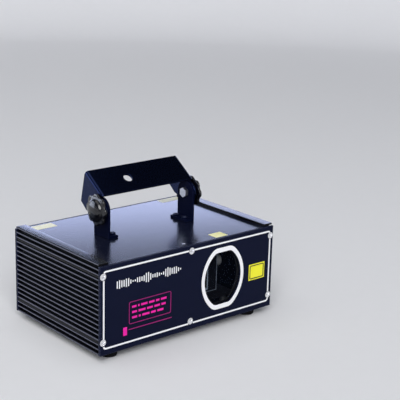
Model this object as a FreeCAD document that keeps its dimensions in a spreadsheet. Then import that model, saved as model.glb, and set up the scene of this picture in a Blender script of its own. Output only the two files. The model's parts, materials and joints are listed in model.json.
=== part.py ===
"""Laser show projector: a finned case on rubber feet, with a yoke that tilts between two clamp knobs.

Inside are a bench with two lasers and two scanner mirrors, a power board, a control board and a fan.
The pieces are laid out with X to the right seen from the front, Y = 0 on the front panel's outer face and
growing to the back, and Z = 0 on the floor. Each finished piece is then moved forwards by half of the
overall depth, so that the origin lies on the floor under the middle of the part.
Lengths are in millimetres and angles in degrees.
"""
import FreeCAD, Part
import math
import os
import types

import Sketcher

V = FreeCAD.Vector
Rotation = FreeCAD.Rotation

# The driving dimensions. Heights in the case are counted from its bottom, depths from its front face.
SIZES = {
    # case and its two side extrusions
    "case_width": 240, "case_depth": 160, "case_height": 99,
    "panel_thick": 2.5, "sheet_thick": 2, "sheet_drop": 3,
    "rib_depth": 4, "rib_thick": 2.2, "rib_gaps": 18, "rib_chamfer": 0.6,
    "web_thick": 3, "flange_width": 12, "lip_thick": 2, "slip": 0.2,
    # screws: countersunk ones in the panels, small ones in the sheets, pan heads elsewhere
    "screw_radius": 1.9, "head_radius": 3.7, "head_depth": 1.8, "screw_length": 13,
    "small_radius": 1.4, "small_head": 2.6, "small_depth": 1.2, "small_length": 9,
    "pan_radius": 3.4, "pan_height": 2.2, "cross_width": 0.9, "cross_depth": 1,
    "thread_slip": 0.05, "hole_slip": 0.15, "boss_radius": 3.5,
    "corner_screw_side": 3.9, "corner_screw_rise": 13.9, "middle_screw_rise": 9.4,
    "tie_size": 12, "tie_screw_depth": 9.3, "tie_screw_x": -3.6,
    # feet
    "foot_height": 9, "foot_radius": 10, "foot_taper": 1.2, "foot_depth": 16, "foot_gap": 0.6,
    "foot_recess": 5,
    # front window
    "window_gap": 5, "window_low": 19.3, "window_top": 19.1, "window_arc": 37, "window_offset": 10.5,
    "window_corner": 8,
    "glass_thick": 3, "glass_overlap": 4, "retainer_wall": 4, "retainer_back": 2,
    # yoke, the two angle feet that carry it and the clamps
    "pivot_depth": 81.5, "pivot_rise": 31, "leg_width": 27, "leg_thick": 2.5, "leg_inside": 57.5,
    "sole_width": 13, "sole_screw_spread": 15, "sole_screw_inset": 6,
    "yoke_thick": 2.5, "yoke_width": 37, "yoke_front": 4, "yoke_top": 17.5, "yoke_bend": 3,
    "yoke_tilt": 34.4, "arm_lobe": 13, "arm_low_angle": 107, "arm_front_angle": 79,
    "arm_rear_y": 29, "arm_rear_z": 17.5, "arm_heel_y": 16, "arm_heel_z": 18.5, "arm_round": 2.5,
    "hang_radius": 5.2, "hang_x": -18.2, "hang_back": 18,
    "fibre_thick": 0.8, "washer_thick": 1.2, "washer_radius": 9,
    "bolt_radius": 3, "bolt_flats": 5, "bolt_head": 4, "bolt_reach": 6, "run_slip": 0.05,
    "knob_radius": 18, "knob_skirt": 3, "knob_cap": 12, "knob_length": 9, "knob_edge": 1,
    "knob_lobes": 8, "flute_radius": 5, "flute_bite": 2,
    # optical bench, its lasers and scanners
    "stand_height": 10, "stand_radius": 3.5, "bench_thick": 4, "bench_reach": 38, "bench_margin": 1,
    "bench_front": 24, "bench_gap": 16.5, "stand_inset": 8,
    "beam_offset": 0.5, "beam_depth": 48, "beam_rise": 18, "scan_step": 14,
    "motor_radius": 7, "motor_length": 24, "clamp_wall": 3.5, "clamp_length": 14, "mirror_gap": 10,
    "shaft_radius": 1.5, "shaft_seat": 6, "mirror_length": 11, "mirror_width": 9, "mirror_thick": 1.2,
    "red_radius": 8, "red_length": 34, "red_gap": 12, "saddle_length": 18,
    "lens_radius": 3.5, "lens_depth": 4,
    "green_width": 26, "green_tail": 6, "green_height": 30, "combiner_gap": 25, "combiner_size": 14,
    "combiner_thick": 2, "combiner_post": 8,
    # boards
    "board_side": 16, "board_width": 40, "board_front": 18, "board_gap": 5.5, "board_thick": 1.6,
    "board_lift": 6, "board_space": 46, "pillar_radius": 2.5, "pillar_inset": 5,
    "transformer_width": 26, "transformer_length": 26, "transformer_height": 24, "board_start": 12,
    "capacitor_radius": 6, "capacitor_height": 25, "capacitor_count": 3, "capacitor_pitch": 13,
    "chip_size": 14, "chip_height": 3, "chip_count": 4, "chip_pitch": 18,
    # fan
    "fan_side": 52, "fan_rise": 38, "fan_size": 60, "fan_thick": 15, "fan_bore": 28, "fan_hub": 11,
    "fan_blades": 7, "blade_thick": 1.6, "blade_gap": 1, "spider_thick": 2, "spider_width": 4,
    "fan_screw_spread": 50, "guard_thick": 1.2, "guard_bar": 2.4, "guard_rings": 4, "guard_reach": 32.5,
    "guard_eye": 4.5,
    # rear sockets and controls
    "inlet_edge": 19, "inlet_rise": 30, "inlet_width": 27, "inlet_height": 20, "inlet_depth": 22,
    "inlet_rim": 4, "rim_thick": 2, "inlet_wall": 2, "pin_width": 4, "pin_thick": 2, "pin_length": 12,
    "pin_spread": 7, "drawer_height": 7, "drawer_width": 22, "drawer_depth": 18, "drawer_travel": 16,
    "switch_rise": 60, "switch_width": 13, "switch_height": 19, "switch_depth": 14,
    "rocker_slip": 0.4, "rocker_proud": 2.5, "rocker_pin": 1.2,
    "socket_gap": 33.5, "socket_pitch": 28, "socket_rise": 27, "socket_radius": 11, "socket_depth": 20,
    "socket_plate_width": 26, "socket_plate_height": 31, "socket_cavity": 8.6, "cavity_depth": 14,
    "contact_radius": 1.1, "contact_circle": 4,
    "panel_board_gap_x": 39, "menu_drop": 27, "panel_board_width": 58, "panel_board_height": 20,
    "panel_board_gap": 8, "display_width": 17, "display_height": 9, "display_inset": 2,
    "button_radius": 3.2, "button_flange": 4.2, "button_proud": 1.6, "button_pitch": 8.8,
    "button_travel": 0.6, "button_slip": 0.3, "flange_depth": 1, "key_gap": 0.75, "key_size": 6,
    "dial_pitch": 38.5, "dial_radius": 6, "dial_length": 9, "dial_gap": 0.4, "dial_mark": 1,
    "stem_radius": 3, "pot_size": 16, "pot_depth": 9,
}

doc = FreeCAD.newDocument("laser_show_projector")
sheet = doc.addObject("Spreadsheet::Sheet", "Sizes")
PIECES = []


class Size:
    """A number worked out from the sheet: the expression that binds it and its present value."""

    def __init__(self, text, value):
        self.text = text
        self.value = value

    def __add__(self, other):
        other = as_size(other)
        return Size(f"({self.text} + {other.text})", self.value + other.value)

    def __sub__(self, other):
        other = as_size(other)
        return Size(f"({self.text} - {other.text})", self.value - other.value)

    def __mul__(self, other):
        other = as_size(other)
        return Size(f"({self.text} * {other.text})", self.value * other.value)

    def __truediv__(self, other):
        other = as_size(other)
        return Size(f"({self.text} / {other.text})", self.value / other.value)

    def __neg__(self):
        return Size(f"(-1 * {self.text})", -self.value)

    def __radd__(self, other):
        return as_size(other) + self

    def __rsub__(self, other):
        return as_size(other) - self

    def __rmul__(self, other):
        return as_size(other) * self


def as_size(value):
    """Takes a plain number or a Size, and gives a Size."""
    return value if isinstance(value, Size) else Size(repr(float(value)), float(value))


def sine(angle):
    """The sine of an angle in degrees."""
    return Size(f"sin({angle.text} * 1 deg)", math.sin(math.radians(angle.value)))


def cosine(angle):
    """The cosine of an angle in degrees."""
    return Size(f"cos({angle.text} * 1 deg)", math.cos(math.radians(angle.value)))


def fill_sheet():
    """Writes the driving dimensions to the sheet and gives them back as named Sizes."""
    for row, (name, value) in enumerate(SIZES.items(), start=1):
        sheet.set(f"A{row}", name)
        sheet.set(f"B{row}", str(value))
        sheet.setAlias(f"B{row}", name)
    doc.recompute()
    sizes = {name: Size(f"Sizes.{name}", float(value)) for name, value in SIZES.items()}
    return types.SimpleNamespace(**sizes)


s = fill_sheet()

# Places that several pieces share.
half_width = s.case_width / 2
floor_z = s.foot_height
roof_z = floor_z + s.case_height
cover_z = roof_z - s.sheet_drop
base_z = floor_z + s.sheet_drop
base_top = base_z + s.sheet_thick
web_x = half_width - s.rib_depth - s.web_thick
inside_front = s.panel_thick
inside_back = s.case_depth - s.panel_thick
rear = s.case_depth
panel_low = floor_z
pivot_z = cover_z + s.pivot_rise
fibre_x = s.leg_inside + s.leg_thick
arm_x = fibre_x + s.fibre_thick
washer_x = arm_x + s.yoke_thick
knob_x = washer_x + s.washer_thick
bench_z = base_top + s.stand_height + s.bench_thick
beam_z = bench_z + s.beam_rise
retainer_half = s.window_arc - s.window_offset + s.glass_overlap + s.retainer_wall
window_x = s.tie_size / 2 + s.window_gap + retainer_half
window_z = floor_z + (s.case_height - s.window_top + s.window_low) / 2
window_half = (s.case_height - s.window_top - s.window_low) / 2
beam_x = window_x + s.beam_offset
combiner_x = beam_x - s.combiner_gap
red_front = combiner_x - s.red_gap
bench_left = red_front - s.red_length - s.bench_margin
bench_right = beam_x + s.bench_reach
bench_back = inside_back - s.fan_thick - s.bench_gap
fan_x = half_width - s.fan_side
inlet_x = s.flange_width + s.inlet_edge - half_width
socket_in_x = inlet_x + s.socket_gap
socket_out_x = socket_in_x + s.socket_pitch
panel_board_x = inlet_x + s.panel_board_gap_x
dial_x = panel_board_x + s.dial_pitch
menu_z = roof_z - s.menu_drop
rear_proud = s.dial_gap + s.dial_length
frame_shift = (s.case_depth + rear_proud) / 2

# The turn that points a piece drawn along Z the other way.
TURNS = {
    "X": Rotation(V(0, 1, 0), 90), "-X": Rotation(V(0, 1, 0), -90),
    "Y": Rotation(V(1, 0, 0), -90), "-Y": Rotation(V(1, 0, 0), 90),
    "Z": Rotation(), "-Z": Rotation(V(1, 0, 0), 180),
}


def bind(thing, prop, value):
    """Binds a property to an expression on the sheet."""
    thing.setExpression(prop, as_size(value).text)


def put(thing, place, turn=Rotation()):
    """Places a thing at (x, y, z), each a Size or a number."""
    thing.Placement = FreeCAD.Placement(V(), turn)
    for axis, value in zip("xyz", place):
        bind(thing, f"Placement.Base.{axis}", value)
    return thing


def box(xs, ys, zs):
    """A block between a low and a high value on each axis."""
    thing = doc.addObject("Part::Box", "block")
    for prop, (low, high) in zip(("Length", "Width", "Height"), (xs, ys, zs)):
        bind(thing, prop, high - low)
    return put(thing, (xs[0], ys[0], zs[0]))


def about(middle, width):
    """The low and high ends of a width centred on a value."""
    return middle - width / 2, middle + width / 2


def rod(axis, place, length, radius):
    """A cylinder that starts at a place and runs along an axis."""
    thing = doc.addObject("Part::Cylinder", "rod")
    bind(thing, "Radius", radius)
    bind(thing, "Height", length)
    return put(thing, place, TURNS[axis])


def cone(axis, place, length, start_radius, end_radius):
    """A cone that starts at a place and runs along an axis."""
    thing = doc.addObject("Part::Cone", "cone")
    bind(thing, "Radius1", start_radius)
    bind(thing, "Radius2", end_radius)
    bind(thing, "Height", length)
    return put(thing, place, TURNS[axis])


def fuse(*things):
    """Joins solids that touch or overlap into one."""
    thing = doc.addObject("Part::MultiFuse", "join")
    thing.Shapes = list(things)
    thing.Refine = True
    return thing


def cut(base, *tools):
    """Takes the tools away from the base."""
    thing = doc.addObject("Part::Cut", "cut")
    thing.Base = base
    thing.Tool = fuse(*tools) if len(tools) > 1 else tools[0]
    thing.Refine = True
    return thing


def common(*things):
    """What all the solids share."""
    thing = doc.addObject("Part::MultiCommon", "common")
    thing.Shapes = list(things)
    return thing


def group(*things):
    """Separate solids kept together as one piece."""
    thing = doc.addObject("Part::Compound", "group")
    thing.Links = list(things)
    return thing


def copies(master, axis, places):
    """One copy of a solid drawn along Z at each place, pointing along an axis."""
    found = []
    for place in places:
        link = doc.addObject("App::Link", "copy")
        link.LinkedObject = master
        link.LinkTransform = False
        found.append(put(link, place, TURNS[axis]))
    return found


def rounded(base, radius, wanted):
    """Rounds the edges of a solid that the test wanted accepts."""
    doc.recompute()
    thing = doc.addObject("Part::Fillet", "rounded")
    thing.Base = base
    chosen = [number for number, edge in enumerate(base.Shape.Edges, start=1) if wanted(edge)]
    thing.Edges = [(number, radius.value, radius.value) for number in chosen]
    return thing


def runs_along(direction):
    """A test for straight edges that run along a direction."""
    def test(edge):
        start, end = edge.Vertexes[0].Point, edge.Vertexes[-1].Point
        straight = isinstance(edge.Curve, Part.Line)
        return straight and (end - start).cross(direction).Length < 1e-6
    return test


def finish(thing, label):
    """Names a finished piece and moves it to the part's own frame."""
    piece = group(thing) if thing.TypeId == "Part::Box" else thing
    piece.Label = label
    put(piece, (0, -frame_shift, 0))
    PIECES.append(piece)


def new_body(label, place, turn=Rotation()):
    """A body whose own frame stands at a place of the layout."""
    body = doc.addObject("PartDesign::Body", label)
    body.Label = label
    put(body, (place[0], place[1] - frame_shift, place[2]), turn)
    PIECES.append(body)
    return body


def origin_part(body, role):
    """One of a body's own planes or axes."""
    return next(part for part in body.Origin.OriginFeatures if part.Role == role)


def new_sketch(body, plane, offset=0):
    """A sketch on one of a body's planes, moved along the plane's normal."""
    sketch = body.newObject("Sketcher::SketchObject", "sketch")
    sketch.AttachmentSupport = [(origin_part(body, plane), "")]
    sketch.MapMode = "FlatFace"
    bind(sketch, "AttachmentOffset.Base.z", offset)
    return sketch


def hold_point(sketch, edge, point, place):
    """Holds a point of a sketch edge at a place counted from the sketch's origin."""
    for kind, value in zip(("DistanceX", "DistanceY"), place):
        value = as_size(value)
        number = sketch.addConstraint(Sketcher.Constraint(kind, -1, 1, edge, point, value.value))
        bind(sketch, f"Constraints[{number}]", value)


def polygon(sketch, points):
    """A closed outline of straight lines through points."""
    first = sketch.GeometryCount
    count = len(points)
    flat = [V(as_size(x).value, as_size(y).value, 0) for x, y in points]
    for index in range(count):
        sketch.addGeometry(Part.LineSegment(flat[index], flat[(index + 1) % count]), False)
    for index in range(count):
        following = first + (index + 1) % count
        sketch.addConstraint(Sketcher.Constraint("Coincident", first + index, 2, following, 1))
    for index, place in enumerate(points):
        hold_point(sketch, first + index, 1, place)
    return sketch


def circle(sketch, place, radius):
    """A circle about a place."""
    centre = V(as_size(place[0]).value, as_size(place[1]).value, 0)
    edge = sketch.addGeometry(Part.Circle(centre, V(0, 0, 1), radius.value), False)
    hold_point(sketch, edge, 3, place)
    number = sketch.addConstraint(Sketcher.Constraint("Radius", edge, radius.value))
    bind(sketch, f"Constraints[{number}]", radius)
    return sketch


def pad(body, sketch, length, backwards=False, middle=False):
    """Thickens a sketch along its normal, against it, or both ways."""
    feature = body.newObject("PartDesign::Pad", "pad")
    feature.Profile = sketch
    bind(feature, "Length", length)
    feature.Reversed = backwards
    feature.Midplane = middle
    return feature


def pocket_through(body, sketch):
    """Cuts a sketch right through the body, both ways."""
    feature = body.newObject("PartDesign::Pocket", "pocket")
    feature.Profile = sketch
    feature.Type = "ThroughAll"
    feature.Midplane = True
    return feature


def line_pattern(body, feature, axis, length, count):
    """Repeats a feature in a row along one of the body's axes."""
    pattern = body.newObject("PartDesign::LinearPattern", "row")
    pattern.Originals = [feature]
    pattern.Direction = (origin_part(body, axis), [""])
    bind(pattern, "Length", length)
    bind(pattern, "Occurrences", count)
    body.Tip = pattern
    return pattern


def polar_pattern(body, feature, axis, count):
    """Repeats a feature round one of the body's axes."""
    pattern = body.newObject("PartDesign::PolarPattern", "ring")
    pattern.Originals = [feature]
    pattern.Axis = (origin_part(body, axis), [""])
    pattern.Angle = 360
    bind(pattern, "Occurrences", count)
    body.Tip = pattern
    return pattern


def cross_screw(radius, head_radius, head_depth, length):
    """A countersunk screw along Z with its head's top at the origin and a cross recess."""
    head = cone("Z", (0, 0, 0), head_depth, head_radius, radius)
    shank = rod("Z", (0, 0, head_depth), length - head_depth, radius)
    return recessed(fuse(head, shank), head_radius, 0)


def pan_screw(radius, length):
    """A pan head screw along Z: the head's seat is at the origin, and the head stands below it."""
    head = rod("Z", (0, 0, -s.pan_height), s.pan_height, s.pan_radius)
    return recessed(fuse(head, rod("Z", (0, 0, 0), length, radius)), s.pan_radius, -s.pan_height)


def recessed(screw, head_radius, top):
    """Cuts a cross recess into a screw's head."""
    low, high = top - s.slip, top + s.cross_depth
    wide, narrow = head_radius * 1.2, s.cross_width
    arms = ((wide, narrow), (narrow, wide))
    bars = [box(about(as_size(0), a), about(as_size(0), b), (low, high)) for a, b in arms]
    return cut(screw, *bars)


def screw_hole(axis, place, depth, radius, head_radius, head_depth):
    """The hole and the countersink that a countersunk screw goes into, as a cutting tool."""
    sink = cone(axis, place, head_depth, head_radius + s.hole_slip, radius + s.hole_slip)
    return fuse(rod(axis, place, depth, radius + s.hole_slip), sink)


# Heights and sides of the six screws in each end panel, and of the two in each sheet.
CORNERS = [
    (side * (half_width - s.corner_screw_side), height)
    for side in (-1, 1)
    for height in (floor_z + s.corner_screw_rise, roof_z - s.corner_screw_rise)
]
MIDDLES = [(as_size(0), floor_z + s.middle_screw_rise), (as_size(0), roof_z - s.middle_screw_rise)]
SHEET_SCREWS = [s.tie_screw_depth, rear - s.tie_screw_depth]
FOOT_X = half_width - s.flange_width - s.foot_radius - s.foot_gap
FEET = {
    f"foot_{end}_{hand}": (side * FOOT_X, depth)
    for end, depth in (("front", s.foot_depth), ("rear", rear - s.foot_depth))
    for hand, side in (("left", -1), ("right", 1))
}


def side_extrusion(label, side):
    """A ribbed side of the case: a web with ribs outside, and slots for the two sheets inside."""
    body = new_body(label, (0, s.panel_thick, 0))
    length = s.case_depth - 2 * s.panel_thick
    outer, web, flange = side * half_width, side * web_x, side * (half_width - s.flange_width)
    heights = [base_z - s.slip, base_top + s.slip, base_top + s.slip + s.lip_thick]
    mirrored = [roof_z - (height - floor_z) for height in heights]
    outline = [(flange, floor_z), (outer, floor_z), (outer, roof_z), (flange, roof_z)]
    outline += [(flange, mirrored[0]), (web, mirrored[0]), (web, mirrored[1]), (flange, mirrored[1])]
    outline += [(flange, mirrored[2]), (web, mirrored[2]), (web, heights[2]), (flange, heights[2])]
    outline += [(flange, heights[1]), (web, heights[1]), (web, heights[0]), (flange, heights[0])]
    pad(body, polygon(new_sketch(body, "XZ_Plane"), outline), length, backwards=True)
    pitch = (s.case_height - s.rib_thick) / s.rib_gaps
    low, high = floor_z + s.rib_thick, floor_z + pitch
    root, mouth = side * (half_width - s.rib_depth), side * (half_width + s.rib_chamfer)
    neck = side * (half_width - s.rib_chamfer)
    groove = [(root, low), (neck, low), (mouth, low - 2 * s.rib_chamfer)]
    groove += [(mouth, high + 2 * s.rib_chamfer), (neck, high), (root, high)]
    first = pocket_through(body, polygon(new_sketch(body, "XZ_Plane"), groove))
    line_pattern(body, first, "Z_Axis", pitch * (s.rib_gaps - 1), s.rib_gaps)
    bosses = new_sketch(body, "XZ_Plane")
    cores = new_sketch(body, "XZ_Plane")
    for x, z in CORNERS:
        if x.value * side > 0:
            circle(bosses, (x, z), s.boss_radius)
            circle(cores, (x, z), s.screw_radius + s.thread_slip)
    pad(body, bosses, length, backwards=True)
    pocket_through(body, cores)


def sheets():
    """The top cover and the bottom plate, which slide into the side extrusions, and their four ties."""
    across = (-(web_x - s.slip), web_x - s.slip)
    along = (inside_front, inside_back)
    cover = box(across, along, (cover_z - s.sheet_thick, cover_z))
    plate = box(across, along, (base_z, base_top))
    sinks = (s.sheet_thick + s.slip, s.small_radius, s.small_head, s.small_depth)
    top_holes = [screw_hole("-Z", (s.tie_screw_x, y, cover_z), *sinks) for y in SHEET_SCREWS]
    low_holes = [screw_hole("Z", (s.tie_screw_x, y, base_z), *sinks) for y in SHEET_SCREWS]
    shank = s.screw_radius + s.hole_slip
    top_holes += [rod("-Z", (x, y, cover_z), s.sheet_thick, shank) for x, y in sole_screws()]
    small_shank = s.small_radius + s.hole_slip
    low_holes += [rod("Z", (x, y, base_z), s.sheet_thick, small_shank) for x, y in FEET.values()]
    finish(cut(cover, *top_holes), "top_cover")
    finish(cut(plate, *low_holes), "bottom_plate")
    screw = cross_screw(s.small_radius, s.small_head, s.small_depth, s.small_length)
    found = copies(screw, "-Z", [(s.tie_screw_x, y, cover_z) for y in SHEET_SCREWS])
    found += copies(screw, "Z", [(s.tie_screw_x, y, base_z) for y in SHEET_SCREWS])
    finish(group(*found), "sheet_screws")
    ties = []
    core = s.screw_radius + s.thread_slip
    small_core = s.small_radius + s.thread_slip
    for zs, way, start in (
        ((cover_z - s.sheet_thick - s.tie_size, cover_z - s.sheet_thick), "-Z", cover_z),
        ((base_top, base_top + s.tie_size), "Z", base_z),
    ):
        screw_z = MIDDLES[1][1] if way == "-Z" else MIDDLES[0][1]
        for ys, along, face, depth in (
            ((inside_front, inside_front + s.tie_size), "Y", 0, SHEET_SCREWS[0]),
            ((inside_back - s.tie_size, inside_back), "-Y", rear, SHEET_SCREWS[1]),
        ):
            block = box(about(as_size(0), s.tie_size), ys, zs)
            through = rod(way, (s.tie_screw_x, depth, start), s.sheet_thick + s.tie_size, small_core)
            ties.append(cut(block, through, rod(along, (0, face, screw_z), s.screw_length, core)))
    finish(group(*ties), "panel_ties")


def end_panels():
    """The front and rear panels and the six countersunk screws in each."""
    across, up = (-half_width, half_width), (panel_low, cover_z)
    sinks = (s.panel_thick + s.slip, s.screw_radius, s.head_radius, s.head_depth)
    screw = cross_screw(s.screw_radius, s.head_radius, s.head_depth, s.screw_length)
    front_holes = [screw_hole("Y", (x, 0, z), *sinks) for x, z in CORNERS + MIDDLES]
    opening = window_tool()
    finish(cut(box(across, (as_size(0), inside_front), up), opening, *front_holes), "front_panel")
    rear_holes = [screw_hole("-Y", (x, rear, z), *sinks) for x, z in CORNERS + MIDDLES]
    finish(cut(box(across, (inside_back, rear), up), *rear_holes, *rear_openings()), "rear_panel")
    screws = copies(screw, "Y", [(x, 0, z) for x, z in CORNERS + MIDDLES])
    screws += copies(screw, "-Y", [(x, rear, z) for x, z in CORNERS + MIDDLES])
    finish(group(*screws), "panel_screws")
    window_glass(opening)


def window_tool():
    """The window's opening: two round sides, a flat top and bottom, and rounded corners."""
    ys = (-s.panel_thick, inside_front + s.glass_thick + 2 * s.retainer_back)
    length = ys[1] - ys[0]
    middles = [window_x + way * s.window_offset for way in (-1, 1)]
    sides = [rod("Y", (middle, ys[0], window_z), length, s.window_arc) for middle in middles]
    reach = 2 * s.window_arc
    flat = box(about(window_x, reach), ys, about(window_z, 2 * window_half))
    return rounded(common(*sides, flat), s.window_corner, runs_along(V(0, 1, 0)))


def window_glass(opening):
    """The pane behind the window and the frame that holds it against the panel."""
    wide = 2 * (s.window_arc - s.window_offset + s.glass_overlap)
    tall = 2 * (window_half + s.glass_overlap)
    back = inside_front + s.glass_thick
    pane = box(about(window_x, wide), (inside_front, back), about(window_z, tall))
    finish(pane, "window_glass")
    wall = 2 * s.retainer_wall
    frame = box(
        about(window_x, wide + wall), (inside_front, back + s.retainer_back), about(window_z, tall + wall)
    )
    seat = box(
        about(window_x, wide + 2 * s.slip), (inside_front - s.slip, back), about(window_z, tall + 2 * s.slip)
    )
    finish(cut(frame, seat, opening), "window_retainer")


def feet():
    """Four rubber feet under the bottom plate, each held by a screw in its recess."""
    for label, (x, y) in FEET.items():
        foot = cone("Z", (x, y, 0), base_z, s.foot_radius - s.foot_taper, s.foot_radius)
        recess = rod("Z", (x, y, 0), s.foot_recess, s.pan_radius + s.hole_slip * 4)
        shank = rod("Z", (x, y, 0), base_z, s.small_radius + s.hole_slip)
        finish(cut(foot, recess, shank), label)
    reach = base_top - s.foot_recess + s.slip
    screw = pan_screw(s.small_radius, reach)
    finish(group(*copies(screw, "Z", [(x, y, s.foot_recess) for x, y in FEET.values()])), "foot_screws")


def sole_screws():
    """Places of the screws that hold the two angle feet to the cover."""
    x = s.leg_inside + s.leg_thick - s.sole_width + s.sole_screw_inset - s.leg_thick
    spread = s.sole_screw_spread / 2
    return [(side * x, s.pivot_depth + way * spread) for side in (-1, 1) for way in (-1, 1)]


def angle_feet():
    """The two angle feet on the cover, the bolts through them, and the washers on each side of the yoke."""
    fibres, steels = [], []
    for hand, side in (("left", -1), ("right", 1)):
        legs = [side * s.leg_inside, side * (s.leg_inside + s.leg_thick)]
        soles = [side * (s.leg_inside + s.leg_thick - s.sole_width), legs[1]]
        if side < 0:
            legs.reverse()
            soles.reverse()
        ys = about(s.pivot_depth, s.leg_width)
        leg = box(legs, ys, (cover_z, pivot_z))
        top = rod("X", (legs[0], s.pivot_depth, pivot_z), s.leg_thick, s.leg_width / 2)
        sole = box(soles, ys, (cover_z, cover_z + s.leg_thick))
        hole = rod("X", (legs[0], s.pivot_depth, pivot_z), s.leg_thick, s.bolt_radius + s.run_slip)
        holes = [
            rod("Z", (x, y, cover_z), s.leg_thick, s.screw_radius + s.hole_slip)
            for x, y in sole_screws()
            if x.value * side > 0
        ]
        finish(cut(fuse(leg, top, sole), hole, *holes), f"yoke_foot_{hand}")
        out = "X" if side > 0 else "-X"
        away = "-X" if side > 0 else "X"
        head = doc.addObject("Part::Prism", "hexagon")
        head.Polygon = 6
        bind(head, "Circumradius", s.bolt_flats * (2 / math.sqrt(3)))
        bind(head, "Height", s.bolt_head)
        put(head, at_pivot(side, s.leg_inside), TURNS[away])
        shank = rod(out, at_pivot(side, s.leg_inside), knob_x + s.bolt_reach - s.leg_inside, s.bolt_radius)
        finish(fuse(head, shank), f"pivot_bolt_{hand}")
        ring_bore = s.bolt_radius + s.run_slip
        fibre = rod(out, at_pivot(side, fibre_x), s.fibre_thick, s.washer_radius)
        fibres.append(cut(fibre, rod(out, at_pivot(side, fibre_x), s.fibre_thick, ring_bore)))
        steel = rod(out, at_pivot(side, washer_x), s.washer_thick, s.washer_radius)
        steels.append(cut(steel, rod(out, at_pivot(side, washer_x), s.washer_thick, ring_bore)))
        turn = Rotation() if side > 0 else Rotation(V(0, 0, 1), 180)
        clamp_knob(f"clamp_knob_{hand}", at_pivot(side, knob_x), turn)
    finish(group(*fibres), "fibre_washers")
    finish(group(*steels), "clamp_washers")
    screw = pan_screw(s.screw_radius, s.leg_thick + s.sheet_thick + s.head_depth)
    places = [(x, y, cover_z + s.leg_thick) for x, y in sole_screws()]
    finish(group(*copies(screw, "-Z", places)), "yoke_foot_screws")


def at_pivot(side, x):
    """A point of the yoke's pivot line on one side, x from the middle."""
    return side * x, s.pivot_depth, pivot_z


def clamp_knob(label, place, turn):
    """A fluted clamp knob along X: a skirt, a round cap and a blind bore for the bolt."""
    body = new_body(label, place, turn)
    bore, end = s.bolt_radius + s.run_slip, s.bolt_reach + s.knob_edge
    rim, edge, length = s.knob_radius, s.knob_edge, s.knob_length
    profile = [(end, 0), (end, bore), (0, bore), (0, rim - edge), (edge, rim), (s.knob_skirt - edge, rim)]
    profile += [(s.knob_skirt, rim - edge), (s.knob_skirt + edge, s.knob_cap)]
    profile += [(length - 2 * edge, s.knob_cap - edge), (length - edge / 2, s.knob_cap / 2), (length, 0)]
    turned = body.newObject("PartDesign::Revolution", "turned")
    turned.Profile = polygon(new_sketch(body, "XY_Plane"), profile)
    turned.ReferenceAxis = (origin_part(body, "X_Axis"), [""])
    turned.Angle = 360
    flute = new_sketch(body, "YZ_Plane")
    circle(flute, (0, rim + s.flute_radius - s.flute_bite), s.flute_radius)
    polar_pattern(body, pocket_through(body, flute), "X_Axis", s.knob_lobes)


def yoke():
    """The bent strip that the projector hangs from, with a lobe of each arm round the pivot."""
    body = new_body("yoke", (0, s.pivot_depth, pivot_z), Rotation(V(1, 0, 0), SIZES["yoke_tilt"]))
    bind(body, "Placement.Rotation.Angle", s.yoke_tilt)
    back = s.yoke_front + s.yoke_width
    strip = [(s.yoke_front, s.yoke_top - s.yoke_thick), (back, s.yoke_top - s.yoke_thick)]
    strip += [(back, s.yoke_top), (s.yoke_front, s.yoke_top)]
    pad(body, polygon(new_sketch(body, "YZ_Plane"), strip), 2 * washer_x, middle=True)
    low = (s.arm_lobe * cosine(s.arm_low_angle), -s.arm_lobe * sine(s.arm_low_angle))
    front = (-s.arm_lobe * cosine(s.arm_front_angle), s.arm_lobe * sine(s.arm_front_angle))
    shoulder = s.yoke_top - s.yoke_bend - s.arm_round
    outline = [(s.yoke_front, s.yoke_top), (back, s.yoke_top), (back, shoulder)]
    outline += [(s.arm_rear_y, -s.arm_rear_z), (s.arm_heel_y, -s.arm_heel_z)]
    outline += [low, front, (s.yoke_front, shoulder)]
    for start in (arm_x, -washer_x):
        pad(body, polygon(new_sketch(body, "YZ_Plane", start), outline), s.yoke_thick)
        pad(body, circle(new_sketch(body, "YZ_Plane", start), (0, 0), s.arm_lobe), s.yoke_thick)
    pocket_through(body, circle(new_sketch(body, "YZ_Plane"), (0, 0), s.bolt_radius + s.run_slip))
    hang = circle(new_sketch(body, "XY_Plane"), (s.hang_x, s.yoke_front + s.hang_back), s.hang_radius)
    last = pocket_through(body, hang)
    doc.recompute()
    folds = []
    for number, edge in enumerate(last.Shape.Edges, start=1):
        middle = edge.CenterOfMass
        at_top = abs(middle.z - s.yoke_top.value) < 1e-6
        at_side = abs(abs(middle.x) - washer_x.value) < 1e-6
        if at_top and at_side and runs_along(V(0, 1, 0))(edge):
            folds.append(f"Edge{number}")
    bend = body.newObject("PartDesign::Fillet", "bend")
    bend.Base = (last, folds)
    bind(bend, "Radius", s.yoke_bend)
    body.Tip = bend


def optical_bench():
    """The bench with its scanners and lasers; gives back the posts that it stands on."""
    stands = [
        (x, y)
        for x in (bench_left + s.stand_inset, bench_right - s.stand_inset)
        for y in (s.bench_front + s.stand_inset, bench_back - s.stand_inset)
    ]
    low = bench_z - s.bench_thick
    finish(box((bench_left, bench_right), (s.bench_front, bench_back), (low, bench_z)), "optical_bench")
    scanners()
    lasers()
    return [rod("Z", (x, y, base_top), s.stand_height, s.stand_radius) for x, y in stands]


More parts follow.
